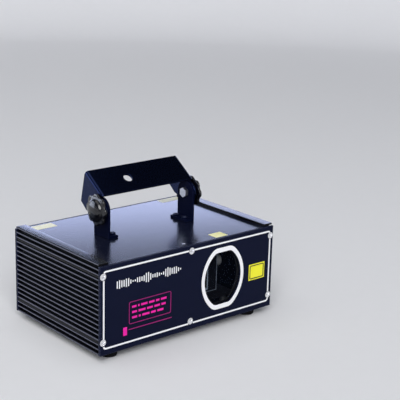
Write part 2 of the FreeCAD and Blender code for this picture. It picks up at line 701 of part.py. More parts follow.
def scanners():
    """The block that clamps both motors, and the mirrors on their shafts.

    The first mirror turns the beam up, about an axis along Y. The second, above it, turns the beam to the
    front, about an axis along X.
    """
    wall, radius = s.motor_radius + s.clamp_wall, s.motor_radius
    second_z = beam_z + s.scan_step
    first_y, second_x = s.beam_depth + s.mirror_gap, beam_x + s.mirror_gap
    first = box(about(beam_x, 2 * wall), (first_y, first_y + s.clamp_length), (bench_z, beam_z + wall))
    second_span = (second_x, second_x + s.clamp_length)
    second = box(second_span, about(s.beam_depth, 2 * wall), (bench_z, second_z + wall))
    base = box(
        (beam_x - wall, second_x + s.clamp_length),
        (s.beam_depth - wall, first_y + s.clamp_length),
        (bench_z, bench_z + s.clamp_wall),
    )
    bores = [
        rod("Y", (beam_x, first_y, beam_z), s.clamp_length, radius + s.thread_slip),
        rod("X", (second_x, s.beam_depth, second_z), s.clamp_length, radius + s.thread_slip),
    ]
    finish(cut(fuse(first, second, base), *bores), "scanner_block")
    seat = s.shaft_radius + s.run_slip
    reach = s.mirror_gap + s.mirror_length / 2
    for label, axis, place, tilt in (
        ("x", "Y", (beam_x, first_y, beam_z), Rotation(V(0, 1, 0), -45)),
        ("y", "X", (second_x, s.beam_depth, second_z), Rotation(V(1, 0, 0), 45)),
    ):
        motor = rod(axis, place, s.motor_length, radius)
        finish(cut(motor, rod(axis, place, s.shaft_seat, seat)), f"{label}_scanner_motor")
        start = list(place)
        index = "XYZ".index(axis)
        start[index] = place[index] - reach
        shaft = rod(axis, start, reach + s.shaft_seat, s.shaft_radius)
        size = [s.mirror_width, s.mirror_width, s.mirror_thick]
        size[index] = s.mirror_length
        plate = doc.addObject("Part::Box", "mirror")
        for prop, value in zip(("Length", "Width", "Height"), size):
            bind(plate, prop, value)
        corner = [-value / 2 for value in size]
        put(plate, corner)
        turned = group(plate)
        middle = list(place)
        middle[index] = place[index] - s.mirror_gap
        put(turned, middle, tilt)
        finish(fuse(shaft, turned), f"{label}_mirror")


def lasers():
    """The red laser in its saddle, the green laser behind, and the tilted glass that joins their beams."""
    centre = (red_front - s.red_length, s.beam_depth, beam_z)
    red = rod("X", centre, s.red_length, s.red_radius)
    lens = rod("-X", (red_front, s.beam_depth, beam_z), s.lens_depth, s.lens_radius)
    finish(cut(red, lens), "red_laser")
    wall = s.red_radius + s.clamp_wall
    along = about(red_front - s.red_length / 2, s.saddle_length)
    saddle = box(along, about(s.beam_depth, 2 * wall), (bench_z, beam_z + wall))
    bore = rod("X", (along[0], s.beam_depth, beam_z), s.saddle_length, s.red_radius + s.thread_slip)
    finish(cut(saddle, bore), "red_laser_saddle")
    start = s.beam_depth + s.combiner_size
    across = about(combiner_x, s.green_width)
    green = box(across, (start, bench_back - s.green_tail), (bench_z, bench_z + s.green_height))
    lens = rod("Y", (combiner_x, start, beam_z), s.lens_depth, s.lens_radius)
    finish(cut(green, lens), "green_laser")
    post_top = beam_z - s.combiner_size / 2
    post = box(
        about(combiner_x, s.combiner_post), about(s.beam_depth, s.combiner_post), (bench_z, post_top)
    )
    finish(post, "combiner_post")
    glass = doc.addObject("Part::Box", "glass")
    spans = (s.combiner_size, s.combiner_thick, s.combiner_size)
    for prop, value in zip(("Length", "Width", "Height"), spans):
        bind(glass, prop, value)
    put(glass, (-s.combiner_size / 2, -s.combiner_thick / 2, -s.combiner_size / 2))
    turned = put(group(glass), (combiner_x, s.beam_depth, beam_z), Rotation(V(0, 0, 1), 45))
    finish(group(turned), "combiner_glass")


def boards():
    """The power board with its transformer and capacitors, and the control board above it.

    Gives back the pillars under the two boards.
    """
    left = s.board_side - half_width
    xs = (left, left + s.board_width)
    ys = (s.board_front, inside_back - s.inlet_depth - s.board_gap)
    low = base_top + s.board_lift
    top = low + s.board_thick
    high = top + s.board_space
    upper = box(xs, ys, (high, high + s.board_thick))
    finish(fuse(upper, *chips(xs, ys, high + s.board_thick)), "control_board")
    corners = [
        (x, y)
        for x in (xs[0] + s.pillar_inset, xs[1] - s.pillar_inset)
        for y in (ys[0] + s.pillar_inset, ys[1] - s.pillar_inset)
    ]
    pillars = [rod("Z", (x, y, base_top), s.board_lift, s.pillar_radius) for x, y in corners]
    pillars += [rod("Z", (x, y, top), s.board_space, s.pillar_radius) for x, y in corners]
    centre = (xs[0] + xs[1]) / 2
    start = ys[0] + s.board_start
    core_ys = (start, start + s.transformer_length)
    core = box(about(centre, s.transformer_width), core_ys, (top, top + s.transformer_height))
    first = start + s.transformer_length + s.capacitor_radius + s.capacitor_pitch / 4
    cans = [
        rod("Z", (centre, first + index * s.capacitor_pitch, top), s.capacitor_height, s.capacitor_radius)
        for index in range(SIZES["capacitor_count"])
    ]
    finish(fuse(box(xs, ys, (low, top)), core, *cans), "power_board")
    return pillars


def chips(xs, ys, top):
    """The packages on the control board."""
    centre = (xs[0] + xs[1]) / 2
    first = ys[0] + s.board_start
    found = []
    for index in range(SIZES["chip_count"]):
        start = first + index * s.chip_pitch
        span = (start, start + s.chip_size)
        found.append(box(about(centre, s.chip_size), span, (top, top + s.chip_height)))
    return found


def fan():
    """The fan inside the rear panel: frame, rotor, the guard outside and four screws through them."""
    z = floor_z + s.fan_rise
    front = inside_back - s.fan_thick
    block = box(about(fan_x, s.fan_size), (front, inside_back), about(z, s.fan_size))
    spread = s.fan_screw_spread / 2
    screws = [(fan_x + a * spread, z + b * spread) for a in (-1, 1) for b in (-1, 1)]
    thread = s.small_radius + s.thread_slip
    holes = [rod("Y", (x, front, height), s.fan_thick, thread) for x, height in screws]
    shell = cut(block, rod("Y", (fan_x, front, z), s.fan_thick, s.fan_bore), *holes)
    spider = [
        box(about(fan_x, 2 * s.fan_bore + s.slip), (front, front + s.spider_thick), about(z, s.spider_width)),
        box(about(fan_x, s.spider_width), (front, front + s.spider_thick), about(z, 2 * s.fan_bore + s.slip)),
        rod("Y", (fan_x, front, z), s.spider_thick, s.fan_hub),
    ]
    bearing = rod("Y", (fan_x, front, z), s.spider_thick, s.shaft_radius + s.run_slip)
    finish(cut(fuse(shell, *spider), bearing), "fan_frame")
    start = front + s.spider_thick + s.blade_gap
    deep = inside_back - s.blade_gap - start
    hub = rod("Y", (fan_x, start, z), deep, s.fan_hub)
    shaft = rod("Y", (fan_x, front, z), start - front, s.shaft_radius)
    blades = []
    for index in range(SIZES["fan_blades"]):
        blade = doc.addObject("Part::Box", "blade")
        bind(blade, "Length", s.fan_bore - s.blade_gap)
        bind(blade, "Width", deep * 0.7)
        bind(blade, "Height", s.blade_thick)
        put(blade, (0, deep * 0.15, -s.blade_thick / 2))
        pitched = put(group(blade), (0, 0, 0), Rotation(V(1, 0, 0), 18))
        spun = Rotation(V(0, 1, 0), 360 * index / SIZES["fan_blades"])
        blades.append(put(group(pitched), (fan_x, start, z), spun))
    finish(fuse(hub, shaft, *blades), "fan_rotor")
    guard(screws, z)
    screw = pan_screw(s.small_radius, s.guard_thick + s.panel_thick + s.fan_thick / 2)
    places = [(x, rear + s.guard_thick, height) for x, height in screws]
    finish(group(*copies(screw, "-Y", places)), "fan_screws")


def guard(screws, z):
    """The finger guard: rings, two bars and an eye at each screw."""
    pieces = []
    step = s.guard_reach / s.guard_rings
    for index in range(1, SIZES["guard_rings"] + 1):
        outer = rod("Y", (fan_x, rear, z), s.guard_thick, step * index)
        pieces.append(cut(outer, rod("Y", (fan_x, rear, z), s.guard_thick, step * index - s.guard_bar)))
    long, short = about(fan_x, 2 * s.guard_reach - s.guard_bar), about(fan_x, s.guard_bar)
    tall, low = about(z, 2 * s.guard_reach - s.guard_bar), about(z, s.guard_bar)
    pieces.append(box(long, (rear, rear + s.guard_thick), low))
    pieces.append(box(short, (rear, rear + s.guard_thick), tall))
    pieces += [rod("Y", (x, rear, height), s.guard_thick, s.guard_eye) for x, height in screws]
    holes = [rod("Y", (x, rear, height), s.guard_thick, s.small_radius + s.hole_slip) for x, height in screws]
    finish(cut(fuse(*pieces), *holes), "fan_guard")


def rear_openings():
    """What is cut out of the rear panel for the fan, sockets, switch, display, buttons and dial."""
    ys = (inside_back - s.slip, rear + s.slip)
    deep = s.panel_thick + 2 * s.slip
    z = floor_z + s.fan_rise
    spread = s.fan_screw_spread / 2
    tools = [rod("Y", (fan_x, ys[0], z), deep, s.fan_bore)]
    tools += [
        rod("Y", (fan_x + a * spread, ys[0], z + b * spread), deep, s.small_radius + s.hole_slip)
        for a in (-1, 1)
        for b in (-1, 1)
    ]
    tools.append(box(about(inlet_x, s.inlet_width + 2 * s.slip), ys, inlet_heights(s.slip)))
    switch_z = floor_z + s.switch_rise
    tools.append(
        box(about(inlet_x, s.switch_width + 2 * s.slip), ys, about(switch_z, s.switch_height + 2 * s.slip))
    )
    for x in (socket_in_x, socket_out_x):
        tools.append(rod("Y", (x, ys[0], floor_z + s.socket_rise), deep, s.socket_radius + s.slip))
    tools.append(box(display_span(s.slip), ys, about(menu_z, s.display_height + 2 * s.slip)))
    for x in button_places():
        tools.append(rod("Y", (x, ys[0], menu_z), deep, s.button_radius + s.button_slip))
    tools.append(rod("Y", (dial_x, ys[0], menu_z), deep, s.stem_radius + s.run_slip))
    return tools


def inlet_heights(margin):
    """The low and high ends of the inlet's body, which holds the socket above the fuse drawer."""
    middle = floor_z + s.inlet_rise
    low = middle - s.inlet_height / 2 - s.drawer_height - 2 * s.inlet_wall
    return low - margin, middle + s.inlet_height / 2 + margin


def display_span(margin):
    """The low and high ends of the display on the panel board."""
    left = panel_board_x - s.panel_board_width / 2 + s.display_inset
    return left - margin, left + s.display_width + margin


def button_places():
    """The four menu buttons, in a row to the right of the display."""
    first = display_span(0)[1] + s.button_pitch / 2 + s.button_slip
    return [first + index * s.button_pitch for index in range(4)]


def power_inlet():
    """The mains inlet with its three blades, the fuse drawer under it, and the rocker switch above."""
    low, high = inlet_heights(0)
    ys = (inside_back - s.inlet_depth, rear)
    across = about(inlet_x, s.inlet_width)
    rim = box(
        about(inlet_x, s.inlet_width + 2 * s.inlet_rim),
        (rear, rear + s.rim_thick),
        (low - s.inlet_rim, high + s.inlet_rim),
    )
    shell = fuse(box(across, ys, (low, high)), rim)
    middle = floor_z + s.inlet_rise
    mouth = rear + s.rim_thick
    cavity = box(
        about(inlet_x, s.inlet_width - 2 * s.inlet_wall),
        (ys[0] + 2 * s.inlet_wall, mouth),
        about(middle, s.inlet_height - 2 * s.inlet_wall),
    )
    drawer_z = low + s.inlet_wall + s.drawer_height / 2
    slot = box(
        about(inlet_x, s.drawer_width + 2 * s.slip),
        (mouth - s.drawer_depth - s.slip, mouth),
        about(drawer_z, s.drawer_height + 2 * s.slip),
    )
    blades = []
    for x, z in ((-1, 0), (0, 0.5), (1, 0)):
        blades.append(box(
            about(inlet_x + x * s.pin_spread, s.pin_thick),
            (ys[0] + s.inlet_wall, ys[0] + 2 * s.inlet_wall + s.pin_length),
            about(middle + z * s.pin_width, s.pin_width),
        ))
    seats = [box_like(blade) for blade in blades]
    finish(cut(shell, cavity, slot, *seats), "power_inlet")
    finish(group(*blades), "inlet_blades")
    drawer = box(
        about(inlet_x, s.drawer_width), (mouth - s.drawer_depth, mouth), about(drawer_z, s.drawer_height)
    )
    finish(drawer, "fuse_drawer")
    rocker_switch()


def box_like(block):
    """A second block with the size and place of a first one, to cut its seat."""
    twin = doc.addObject("App::Link", "seat")
    twin.LinkedObject = block
    twin.LinkTransform = True
    return twin


def rocker_switch():
    """The switch's housing and the rocker that turns on a pin moulded to it."""
    z = floor_z + s.switch_rise
    ys = (inside_back - s.switch_depth, rear)
    body = box(about(inlet_x, s.switch_width), ys, about(z, s.switch_height))
    rim = box(
        about(inlet_x, s.switch_width + s.inlet_rim),
        (rear, rear + s.rim_thick),
        about(z, s.switch_height + s.inlet_rim),
    )
    wide, tall = s.switch_width - 2 * s.inlet_wall, s.switch_height - 2 * s.inlet_wall
    well = box(about(inlet_x, wide), (inside_back - s.switch_depth / 2, rear + s.rim_thick), about(z, tall))
    pin = (inlet_x - s.switch_width / 2, rear, z)
    hole = rod("X", pin, s.switch_width, s.rocker_pin + s.run_slip)
    finish(cut(fuse(body, rim), well, hole), "power_switch")
    inner = wide - 2 * s.rocker_slip
    height = tall - 6 * s.rocker_slip
    depth = (rear - s.rim_thick, rear + s.rim_thick + s.rocker_proud)
    cap = common(
        rod("X", (inlet_x - inner / 2, rear, z), inner, height / 2),
        box(about(inlet_x, inner), depth, about(z, height)),
    )
    axle = rod("X", (inlet_x - s.switch_width / 2, rear, z), s.switch_width, s.rocker_pin)
    finish(fuse(cap, axle), "switch_rocker")


def signal_sockets():
    """The control signal's inlet with three pins, and its outlet with three holes."""
    z = floor_z + s.socket_rise
    deep = s.socket_depth + s.panel_thick
    contacts = [(0, -1), (-1, 0), (1, 0)]
    for label, x in (("signal_in_socket", socket_in_x), ("signal_out_socket", socket_out_x)):
        plate = box(
            about(x, s.socket_plate_width), (rear, rear + s.rim_thick), about(z, s.socket_plate_height)
        )
        barrel = rod("Y", (x, inside_back - s.socket_depth, z), deep + s.rim_thick, s.socket_radius)
        mouth = rear + s.rim_thick
        floor = mouth - s.cavity_depth
        places = [(x + a * s.contact_circle, z + b * s.contact_circle) for a, b in contacts]
        if label == "signal_in_socket":
            cavity = rod("-Y", (x, mouth, z), s.cavity_depth, s.socket_cavity)
            foot = floor - s.rim_thick
            pins = [rod("Y", (a, foot, b), s.cavity_depth, s.contact_radius) for a, b in places]
            seats = [rod("-Y", (a, floor, b), s.rim_thick, s.contact_radius) for a, b in places]
            finish(cut(fuse(plate, barrel), cavity, *seats), label)
            finish(group(*pins), "signal_pins")
        else:
            holes = [rod("-Y", (a, mouth, b), s.cavity_depth, s.contact_radius * 1.2) for a, b in places]
            finish(cut(fuse(plate, barrel), *holes), label)


def menu_panel():
    """The board behind the rear panel with its display and keys, and the four buttons in front of them."""
    z = menu_z
    back = inside_back - s.panel_board_gap
    xs = about(panel_board_x, s.panel_board_width)
    zs = about(z, s.panel_board_height)
    board = box(xs, (back - s.board_thick, back), zs)
    corners = [(x, height) for x in (xs[0] + s.pillar_radius, xs[1] - s.pillar_radius)
               for height in (zs[0] + s.pillar_radius, zs[1] - s.pillar_radius)]
    posts = [rod("Y", (x, back, height), s.panel_board_gap, s.pillar_radius) for x, height in corners]
    glass = box(display_span(0), (back, rear - s.slip), about(z, s.display_height))
    key_front = inside_back - s.flange_depth - s.key_gap
    keys = [box(about(x, s.key_size), (back, key_front), about(z, s.key_size)) for x in button_places()]
    finish(fuse(board, *posts, *keys), "menu_board")
    finish(glass, "menu_display")
    for number, x in enumerate(button_places(), start=1):
        start = (x, inside_back - s.flange_depth, z)
        cap = rod("Y", start, s.flange_depth + s.panel_thick + s.button_proud, s.button_radius)
        rim = rod("Y", start, s.flange_depth, s.button_flange)
        finish(fuse(cap, rim), f"menu_button_{number}")


def sensitivity_dial():
    """The sound dial on its stem, and the potentiometer behind the panel."""
    z = menu_z
    front = inside_back - s.pot_depth
    pot = box(about(dial_x, s.pot_size), (front, inside_back), about(z, s.pot_size))
    stem_hole = rod("Y", (dial_x, front, z), s.pot_depth, s.stem_radius + s.run_slip)
    finish(cut(pot, stem_hole), "dial_potentiometer")
    cap = rod("Y", (dial_x, rear + s.dial_gap, z), s.dial_length, s.dial_radius)
    mark = box(
        about(dial_x, s.dial_mark),
        (rear + s.dial_gap + s.dial_length - s.dial_mark, rear + s.dial_gap + s.dial_length),
        (z, z + s.dial_radius),
    )
    stem = rod("Y", (dial_x, front, z), s.pot_depth + s.panel_thick + s.dial_gap, s.stem_radius)
    finish(fuse(cut(cap, mark), stem), "sensitivity_dial")


def write_parts():
    """Checks every object and every piece, then writes one file for each piece."""
    doc.recompute()
    failed = [thing.Label for thing in doc.Objects if {"Invalid", "Error"} & set(thing.State)]
    if failed:
        raise RuntimeError(f"these objects failed: {failed}")
    labels = [piece.Label for piece in PIECES]
    if len(set(labels)) != len(labels):
        raise RuntimeError("two pieces share a name")
    for piece in PIECES:
        if piece.Shape.isNull() or not piece.Shape.isValid() or not piece.Shape.Solids:
            raise RuntimeError(f"{piece.Label} has no valid shape")
    os.makedirs("parts", exist_ok=True)
    for piece in PIECES:
        piece.Shape.exportStep(f"parts/{piece.Label}.step")
    print(f"{len(PIECES)} pieces written")


side_extrusion("side_extrusion_left", -1)
side_extrusion("side_extrusion_right", 1)
sheets()
end_panels()
feet()
angle_feet()
yoke()
stands = optical_bench() + boards()
finish(group(*stands), "stand_offs")
fan()
power_inlet()
signal_sockets()
menu_panel()
sensitivity_dial()
write_parts()
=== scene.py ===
"""Looks of the laser show projector: finishes, rounded pieces, printed marks, studio and camera.

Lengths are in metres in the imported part's frame: X to the right seen from the front, Y to the back, Z up.
"""

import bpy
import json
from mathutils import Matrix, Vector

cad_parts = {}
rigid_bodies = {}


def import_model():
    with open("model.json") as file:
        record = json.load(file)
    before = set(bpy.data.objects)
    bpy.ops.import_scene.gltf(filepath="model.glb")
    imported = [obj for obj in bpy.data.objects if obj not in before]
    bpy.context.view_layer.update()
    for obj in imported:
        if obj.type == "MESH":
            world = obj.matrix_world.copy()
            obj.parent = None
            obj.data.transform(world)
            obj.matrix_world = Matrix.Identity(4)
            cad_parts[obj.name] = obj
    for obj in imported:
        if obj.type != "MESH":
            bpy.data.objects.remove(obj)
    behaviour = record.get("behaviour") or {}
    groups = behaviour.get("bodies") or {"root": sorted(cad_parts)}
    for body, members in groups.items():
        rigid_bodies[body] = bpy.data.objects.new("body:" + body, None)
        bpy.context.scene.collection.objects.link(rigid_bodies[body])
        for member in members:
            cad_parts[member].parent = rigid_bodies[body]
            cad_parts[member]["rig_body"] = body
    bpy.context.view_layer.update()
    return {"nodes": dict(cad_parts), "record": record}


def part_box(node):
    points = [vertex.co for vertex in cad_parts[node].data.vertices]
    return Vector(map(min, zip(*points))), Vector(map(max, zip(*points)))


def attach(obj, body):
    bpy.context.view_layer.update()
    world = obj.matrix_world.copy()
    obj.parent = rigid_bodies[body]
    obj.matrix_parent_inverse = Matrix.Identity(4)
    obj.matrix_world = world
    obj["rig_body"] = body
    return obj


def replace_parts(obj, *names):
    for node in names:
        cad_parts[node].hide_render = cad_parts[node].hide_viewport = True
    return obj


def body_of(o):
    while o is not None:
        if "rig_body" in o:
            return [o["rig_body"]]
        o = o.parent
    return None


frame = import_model()

import json
import logging
import math
from dataclasses import dataclass
from enum import Enum
from functools import cache
from typing import Any, ClassVar, Optional, Sequence, Union

import bpy
import numpy as np
from mathutils import Matrix, Vector

LOG = logging.getLogger("laser_show_projector")
MM = 0.001
HOUSING = "housing"
HANDS = {"left": -1, "right": 1}
SMOOTH_DEG = 35.0
Pair = tuple[float, float]
Triple = tuple[float, float, float]
Span = tuple[float, float, float, float]
Colour = Triple
Place = Triple


class Value:
    """A shader socket that takes part in plain Python sums."""

    def __init__(self, shader: "Shader", socket: bpy.types.NodeSocket) -> None:
        """Keeps the output socket that the value stands for, and the shader that new nodes go to."""
        self.shader = shader
        self.socket = socket

    def _math(self, operation: str, first: "Operand", second: "Operand") -> "Value":
        """Adds a Math node for two operands."""
        return self.shader.node("ShaderNodeMath", {"operation": operation}, {0: first, 1: second})

    def __add__(self, other: "Operand") -> "Value":
        """Gives self + other."""
        return self._math("ADD", self, other)

    def __sub__(self, other: "Operand") -> "Value":
        """Gives self - other."""
        return self._math("SUBTRACT", self, other)

    def __rsub__(self, other: "Operand") -> "Value":
        """Gives other - self."""
        return self._math("SUBTRACT", other, self)

    def __mul__(self, other: "Operand") -> "Value":
        """Gives self * other."""
        return self._math("MULTIPLY", self, other)

    __radd__ = __add__
    __rmul__ = __mul__


Operand = Union[Value, float]


class Ramp(Enum):
    """How a ramp grows between its two ends."""

    STRAIGHT = "LINEAR"
    SMOOTH = "SMOOTHSTEP"


class Shader:
    """A node tree that is built from expressions.

    The Mix node's colour sockets go by number, because others share their names.
    """

    mix_first: ClassVar[int] = 6
    mix_second: ClassVar[int] = 7
    mix_result: ClassVar[int] = 2

    def __init__(self, tree: bpy.types.NodeTree) -> None:
        """Keeps a material's or world's node tree, emptied."""
        self.tree = tree
        tree.nodes.clear()

    def node(self, kind: str, settings: dict[str, Any], inputs: dict[Any, Any], output: Any = 0) -> Value:
        """Adds one node.

        Args:
            kind: Blender's name of the node's type.
            settings: attributes that are set first.
            inputs: values or links by the socket's name or number.
            output: the name or number of the socket that is given back.

        Returns:
            The chosen output socket, wrapped.
        """
        made = self.tree.nodes.new(kind)
        for name, setting in settings.items():
            setattr(made, name, setting)
        for name, value in inputs.items():
            socket = made.inputs[name]
            if isinstance(value, Value):
                self.tree.links.new(value.socket, socket)
            elif socket.type == "RGBA":
                socket.default_value = (*value, 1.0)
            else:
                socket.default_value = value
        return Value(self, made.outputs[output])

    def along(self, axis: str, space: str = "Object") -> Value:
        """One coordinate of the shaded place, by its axis and the space it is counted in."""
        place = self.node("ShaderNodeTexCoord", {}, {}, space)
        return self.node("ShaderNodeSeparateXYZ", {}, {0: place}, axis)

    def ramp(self, measure: Value, start: float, full: float, low: float, high: float,
             shape: Ramp = Ramp.STRAIGHT) -> Value:
        """Turns a measure into a value that is low up to the start, and high from the full measure on."""
        limits = {"Value": measure, 1: start, 2: full, 3: low, 4: high}
        return self.node("ShaderNodeMapRange", {"interpolation_type": shape.value}, limits)

    def noise(self, waves: float, detail: float, stretch: Place) -> Value:
        """A soft random pattern between 0 and 1 over the Object coordinates.

        Args:
            waves: waves in a metre.
            detail: how many finer layers are added.
            stretch: scale on each axis, which draws the pattern out.

        Returns:
            The pattern's value.
        """
        place = self.node("ShaderNodeTexCoord", {}, {}, "Object")
        spread = self.node("ShaderNodeMapping", {}, {"Vector": place, "Scale": stretch})
        settings = {"Vector": spread, "Scale": waves, "Detail": detail}
        return self.node("ShaderNodeTexNoise", {}, settings, "Fac")

    def mix_colour(self, factor: Operand, first: Any, second: Any) -> Value:
        """Mixes two colours or links to colours: the first at factor 0, the second at factor 1."""
        ends = {0: factor, self.mix_first: first, self.mix_second: second}
        return self.node("ShaderNodeMix", {"data_type": "RGBA"}, ends, self.mix_result)

    def end(self, surface: Value, kind: str = "ShaderNodeOutputMaterial") -> None:
        """Links a surface to a new output node of the given kind."""
        last = self.tree.nodes.new(kind)
        self.tree.links.new(surface.socket, last.inputs["Surface"])


class Grain(Enum):
    """The fine structure of a finish: waves in a metre, finer layers and stretch on each axis."""

    PLAIN = (60.0, 3.0, (1.0, 1.0, 1.0))
    POWDER = (1500.0, 2.0, (1.0, 1.0, 1.0))
    DRAWN = (900.0, 3.0, (1.0, 0.02, 1.0))
    MOULDED = (420.0, 4.0, (1.0, 1.0, 1.0))


class WearAndHighlightPlace(Enum):
    """Where a finish is made bright: along sharp edges, as wear with a painted highlight and as painted glints,
    and on the crests of the ribs, as a painted highlight.
    """

    EDGE_WEAR_AND_HIGHLIGHT = 1
    PAINTED_CREST_HIGHLIGHT = 2


@dataclass(frozen=True)
class WearAndHighlight:
    """Bright places of a finish: edge wear with a painted highlight, and painted highlights and glints.

    Attributes:
        kind: where they are.
        start: the measure at which they start.
        full: the measure at which they are full.
        radius: how far they reach from an edge.
        crest_plane: distance from the middle of a plane just off the rib crests.
        samples: how often the rounded normal is probed.
    """

    kind: WearAndHighlightPlace
    colour: Colour
    start: float
    full: float
    roughness: float = 0.4
    radius: float = 0.7 * MM
    crest_plane: ClassVar[float] = 120.05 * MM
    samples: ClassVar[int] = 6

    def rounded(self, shader: Shader) -> Value:
        """The normal that the surface would have if its edges were rounded."""
        return shader.node("ShaderNodeBevel", {"samples": self.samples}, {"Radius": self.radius})

    def mask(self, shader: Shader) -> Value:
        """How strongly the wear and painted highlight show at a place.

        On the ribbed sides the measure is how far the place lies outside the crest plane, so it is highest on
        the crests. Along edges it is one minus the cosine between the face's normal and the normal that a
        rounded edge would have there.

        Args:
            shader: the builder of the material's nodes.

        Returns:
            A value between 0 and 1.
        """
        # On the ribs this places the painted highlight along the crests.
        if self.kind is WearAndHighlightPlace.PAINTED_CREST_HIGHLIGHT:
            across = shader.node("ShaderNodeMath", {"operation": "ABSOLUTE"}, {0: shader.along("X")})
            measure = across - self.crest_plane
        else:
            ends = {0: self.rounded(shader), 1: shader.node("ShaderNodeNewGeometry", {}, {}, "Normal")}
            cosine = shader.node("ShaderNodeVectorMath", {"operation": "DOT_PRODUCT"}, ends, "Value")
            measure = 1.0 - cosine
        return shader.ramp(measure, self.start, self.full, 0.0, 1.0, Ramp.SMOOTH)


@dataclass(frozen=True)
class Finish:
    """A surface finish: its colour and shine, its clear coat, its grain, and its worn places with painted
    highlights.

    Attributes:
        coat_above: height above which the clear coat lies, everywhere if none is given.
        colour_spread: share by which the grain changes the colour.
        roughness_spread: amount by which the grain changes the roughness.
        relief: how strongly the grain stands out.
        wear_and_highlight_least: share of the wear and painted highlight that the grain always leaves.
        wear_and_highlight_span: share of the wear and painted highlight that follows the grain.
        coat_fade: height over which the clear coat sets in.
        coat_lean: rise of the coat's lower limit in each metre to the right.
        grain_depth: depth of the grain's relief.
    """

    name: str
    colour: Colour
    roughness: float
    metallic: float = 0.0
    specular: float = 0.5
    coat: float = 0.0
    coat_roughness: float = 0.12
    coat_above: Optional[float] = None
    alpha: float = 1.0
    grain: Grain = Grain.PLAIN
    colour_spread: float = 0.12
    roughness_spread: float = 0.05
    relief: float = 0.0
    wear_and_highlight: Optional[WearAndHighlight] = None
    wear_and_highlight_least: ClassVar[float] = 0.75
    wear_and_highlight_span: ClassVar[float] = 0.3
    coat_fade: ClassVar[float] = 0.1 * MM
    coat_lean: ClassVar[float] = 0.0012
    grain_depth: ClassVar[float] = 0.3 * MM

    def coating(self, shader: Shader) -> Operand:
        """How strong the clear coat is at a place.

        Args:
            shader: the builder of the material's nodes.

        Returns:
            The coat's weight, as one number where it lies everywhere.
        """
        if self.coat_above is None:
            return self.coat
        height = shader.along("Z") - shader.along("X") * self.coat_lean
        return shader.ramp(height, self.coat_above - self.coat_fade, self.coat_above, 0.0, self.coat)

    @cache
    def material(self) -> bpy.types.Material:
        """Mixes the finish's nodes, the first time that it is asked for.

        Returns:
            The material, with noise in its colour, its roughness and, where it has any, its relief.
        """
        made = bpy.data.materials.new(self.name)
        made.use_nodes = True
        shader = Shader(made.node_tree)
        pattern = shader.noise(*self.grain.value)
        pale = tuple(min(1.0, part * (1 + self.colour_spread)) for part in self.colour)
        deep = tuple(part * (1 - self.colour_spread) for part in self.colour)
        colour = shader.mix_colour(pattern, deep, pale)
        roughness = (pattern - 0.5) * (2 * self.roughness_spread) + self.roughness
        metallic: Operand = self.metallic
        # The bright places are partly edge wear and partly painted highlight: a lavender to pale blue metal is
        # mixed in for lines of light on edges and rib crests, and for glints.
        if self.wear_and_highlight:
            wear_and_highlight_share = self.wear_and_highlight.mask(shader) * (pattern * self.wear_and_highlight_span + self.wear_and_highlight_least)
            colour = shader.mix_colour(wear_and_highlight_share, colour, self.wear_and_highlight.colour)
            roughness = roughness + wear_and_highlight_share * (self.wear_and_highlight.roughness - self.roughness)
            metallic = self.metallic or wear_and_highlight_share
        inputs: dict[str, Any] = {
            "Base Color": colour,
            "Roughness": roughness,
            "Metallic": metallic,
            "Specular IOR Level": self.specular,
            "Coat Weight": self.coating(shader),
            "Coat Roughness": self.coat_roughness,
            "Alpha": self.alpha,
        }
        if self.relief:
            bump = {"Height": pattern, "Strength": self.relief, "Distance": self.grain_depth}
            if self.wear_and_highlight and self.wear_and_highlight.kind is WearAndHighlightPlace.EDGE_WEAR_AND_HIGHLIGHT:
                bump["Normal"] = self.wear_and_highlight.rounded(shader)
            inputs["Normal"] = shader.node("ShaderNodeBump", {}, bump)
        shader.end(shader.node("ShaderNodeBsdfPrincipled", {}, inputs))
        return made


# Painted highlight: a pale lavender metal on the rib crests stands in for the lines of light along them.
PAINTED_CREST_HIGHLIGHT = WearAndHighlight(WearAndHighlightPlace.PAINTED_CREST_HIGHLIGHT, (0.34, 0.355, 0.50), -0.10 * MM, -0.01 * MM, 0.26)
# Edge wear with a painted highlight: the bared edges are tinted lavender to stand in for the lines of light along
# them.
EDGE_WEAR_AND_HIGHLIGHT = WearAndHighlight(WearAndHighlightPlace.EDGE_WEAR_AND_HIGHLIGHT, (0.20, 0.22, 0.34), 0.03, 0.30)
# Painted glints: a bright pale blue on the scanner mount's edges stands in for light caught on them.
PAINTED_GLINTS = WearAndHighlight(WearAndHighlightPlace.EDGE_WEAR_AND_HIGHLIGHT, (0.75, 0.86, 1.0), 0.005, 0.05, 0.9, 1.8 * MM)

# The case's rib crests carry the painted highlight.
CASE_BLACK = Finish("anodised_case", (0.0014, 0.0016, 0.0036), 0.26, specular=0.14, coat=1.0,
                    coat_roughness=0.22, coat_above=107.95 * MM, grain=Grain.DRAWN,
                    roughness_spread=0.02, relief=0.002, wear_and_highlight=PAINTED_CREST_HIGHLIGHT)
COVER_LACQUER = Finish("cover_lacquer", (0.0050, 0.0068, 0.0190), 0.22, colour_spread=0.03,
                       roughness_spread=0.008, relief=0.002, wear_and_highlight=EDGE_WEAR_AND_HIGHLIGHT)
PANEL_NAVY = Finish("navy_panel_film", (0.0038, 0.0060, 0.0225), 0.5, specular=0.06,
                    grain=Grain.POWDER, relief=0.05, wear_and_highlight=EDGE_WEAR_AND_HIGHLIGHT)
YOKE_LACQUER = Finish("yoke_lacquer", (0.0150, 0.0230, 0.0680), 0.27, metallic=1.0,
                      grain=Grain.POWDER, relief=0.04, wear_and_highlight=EDGE_WEAR_AND_HIGHLIGHT)
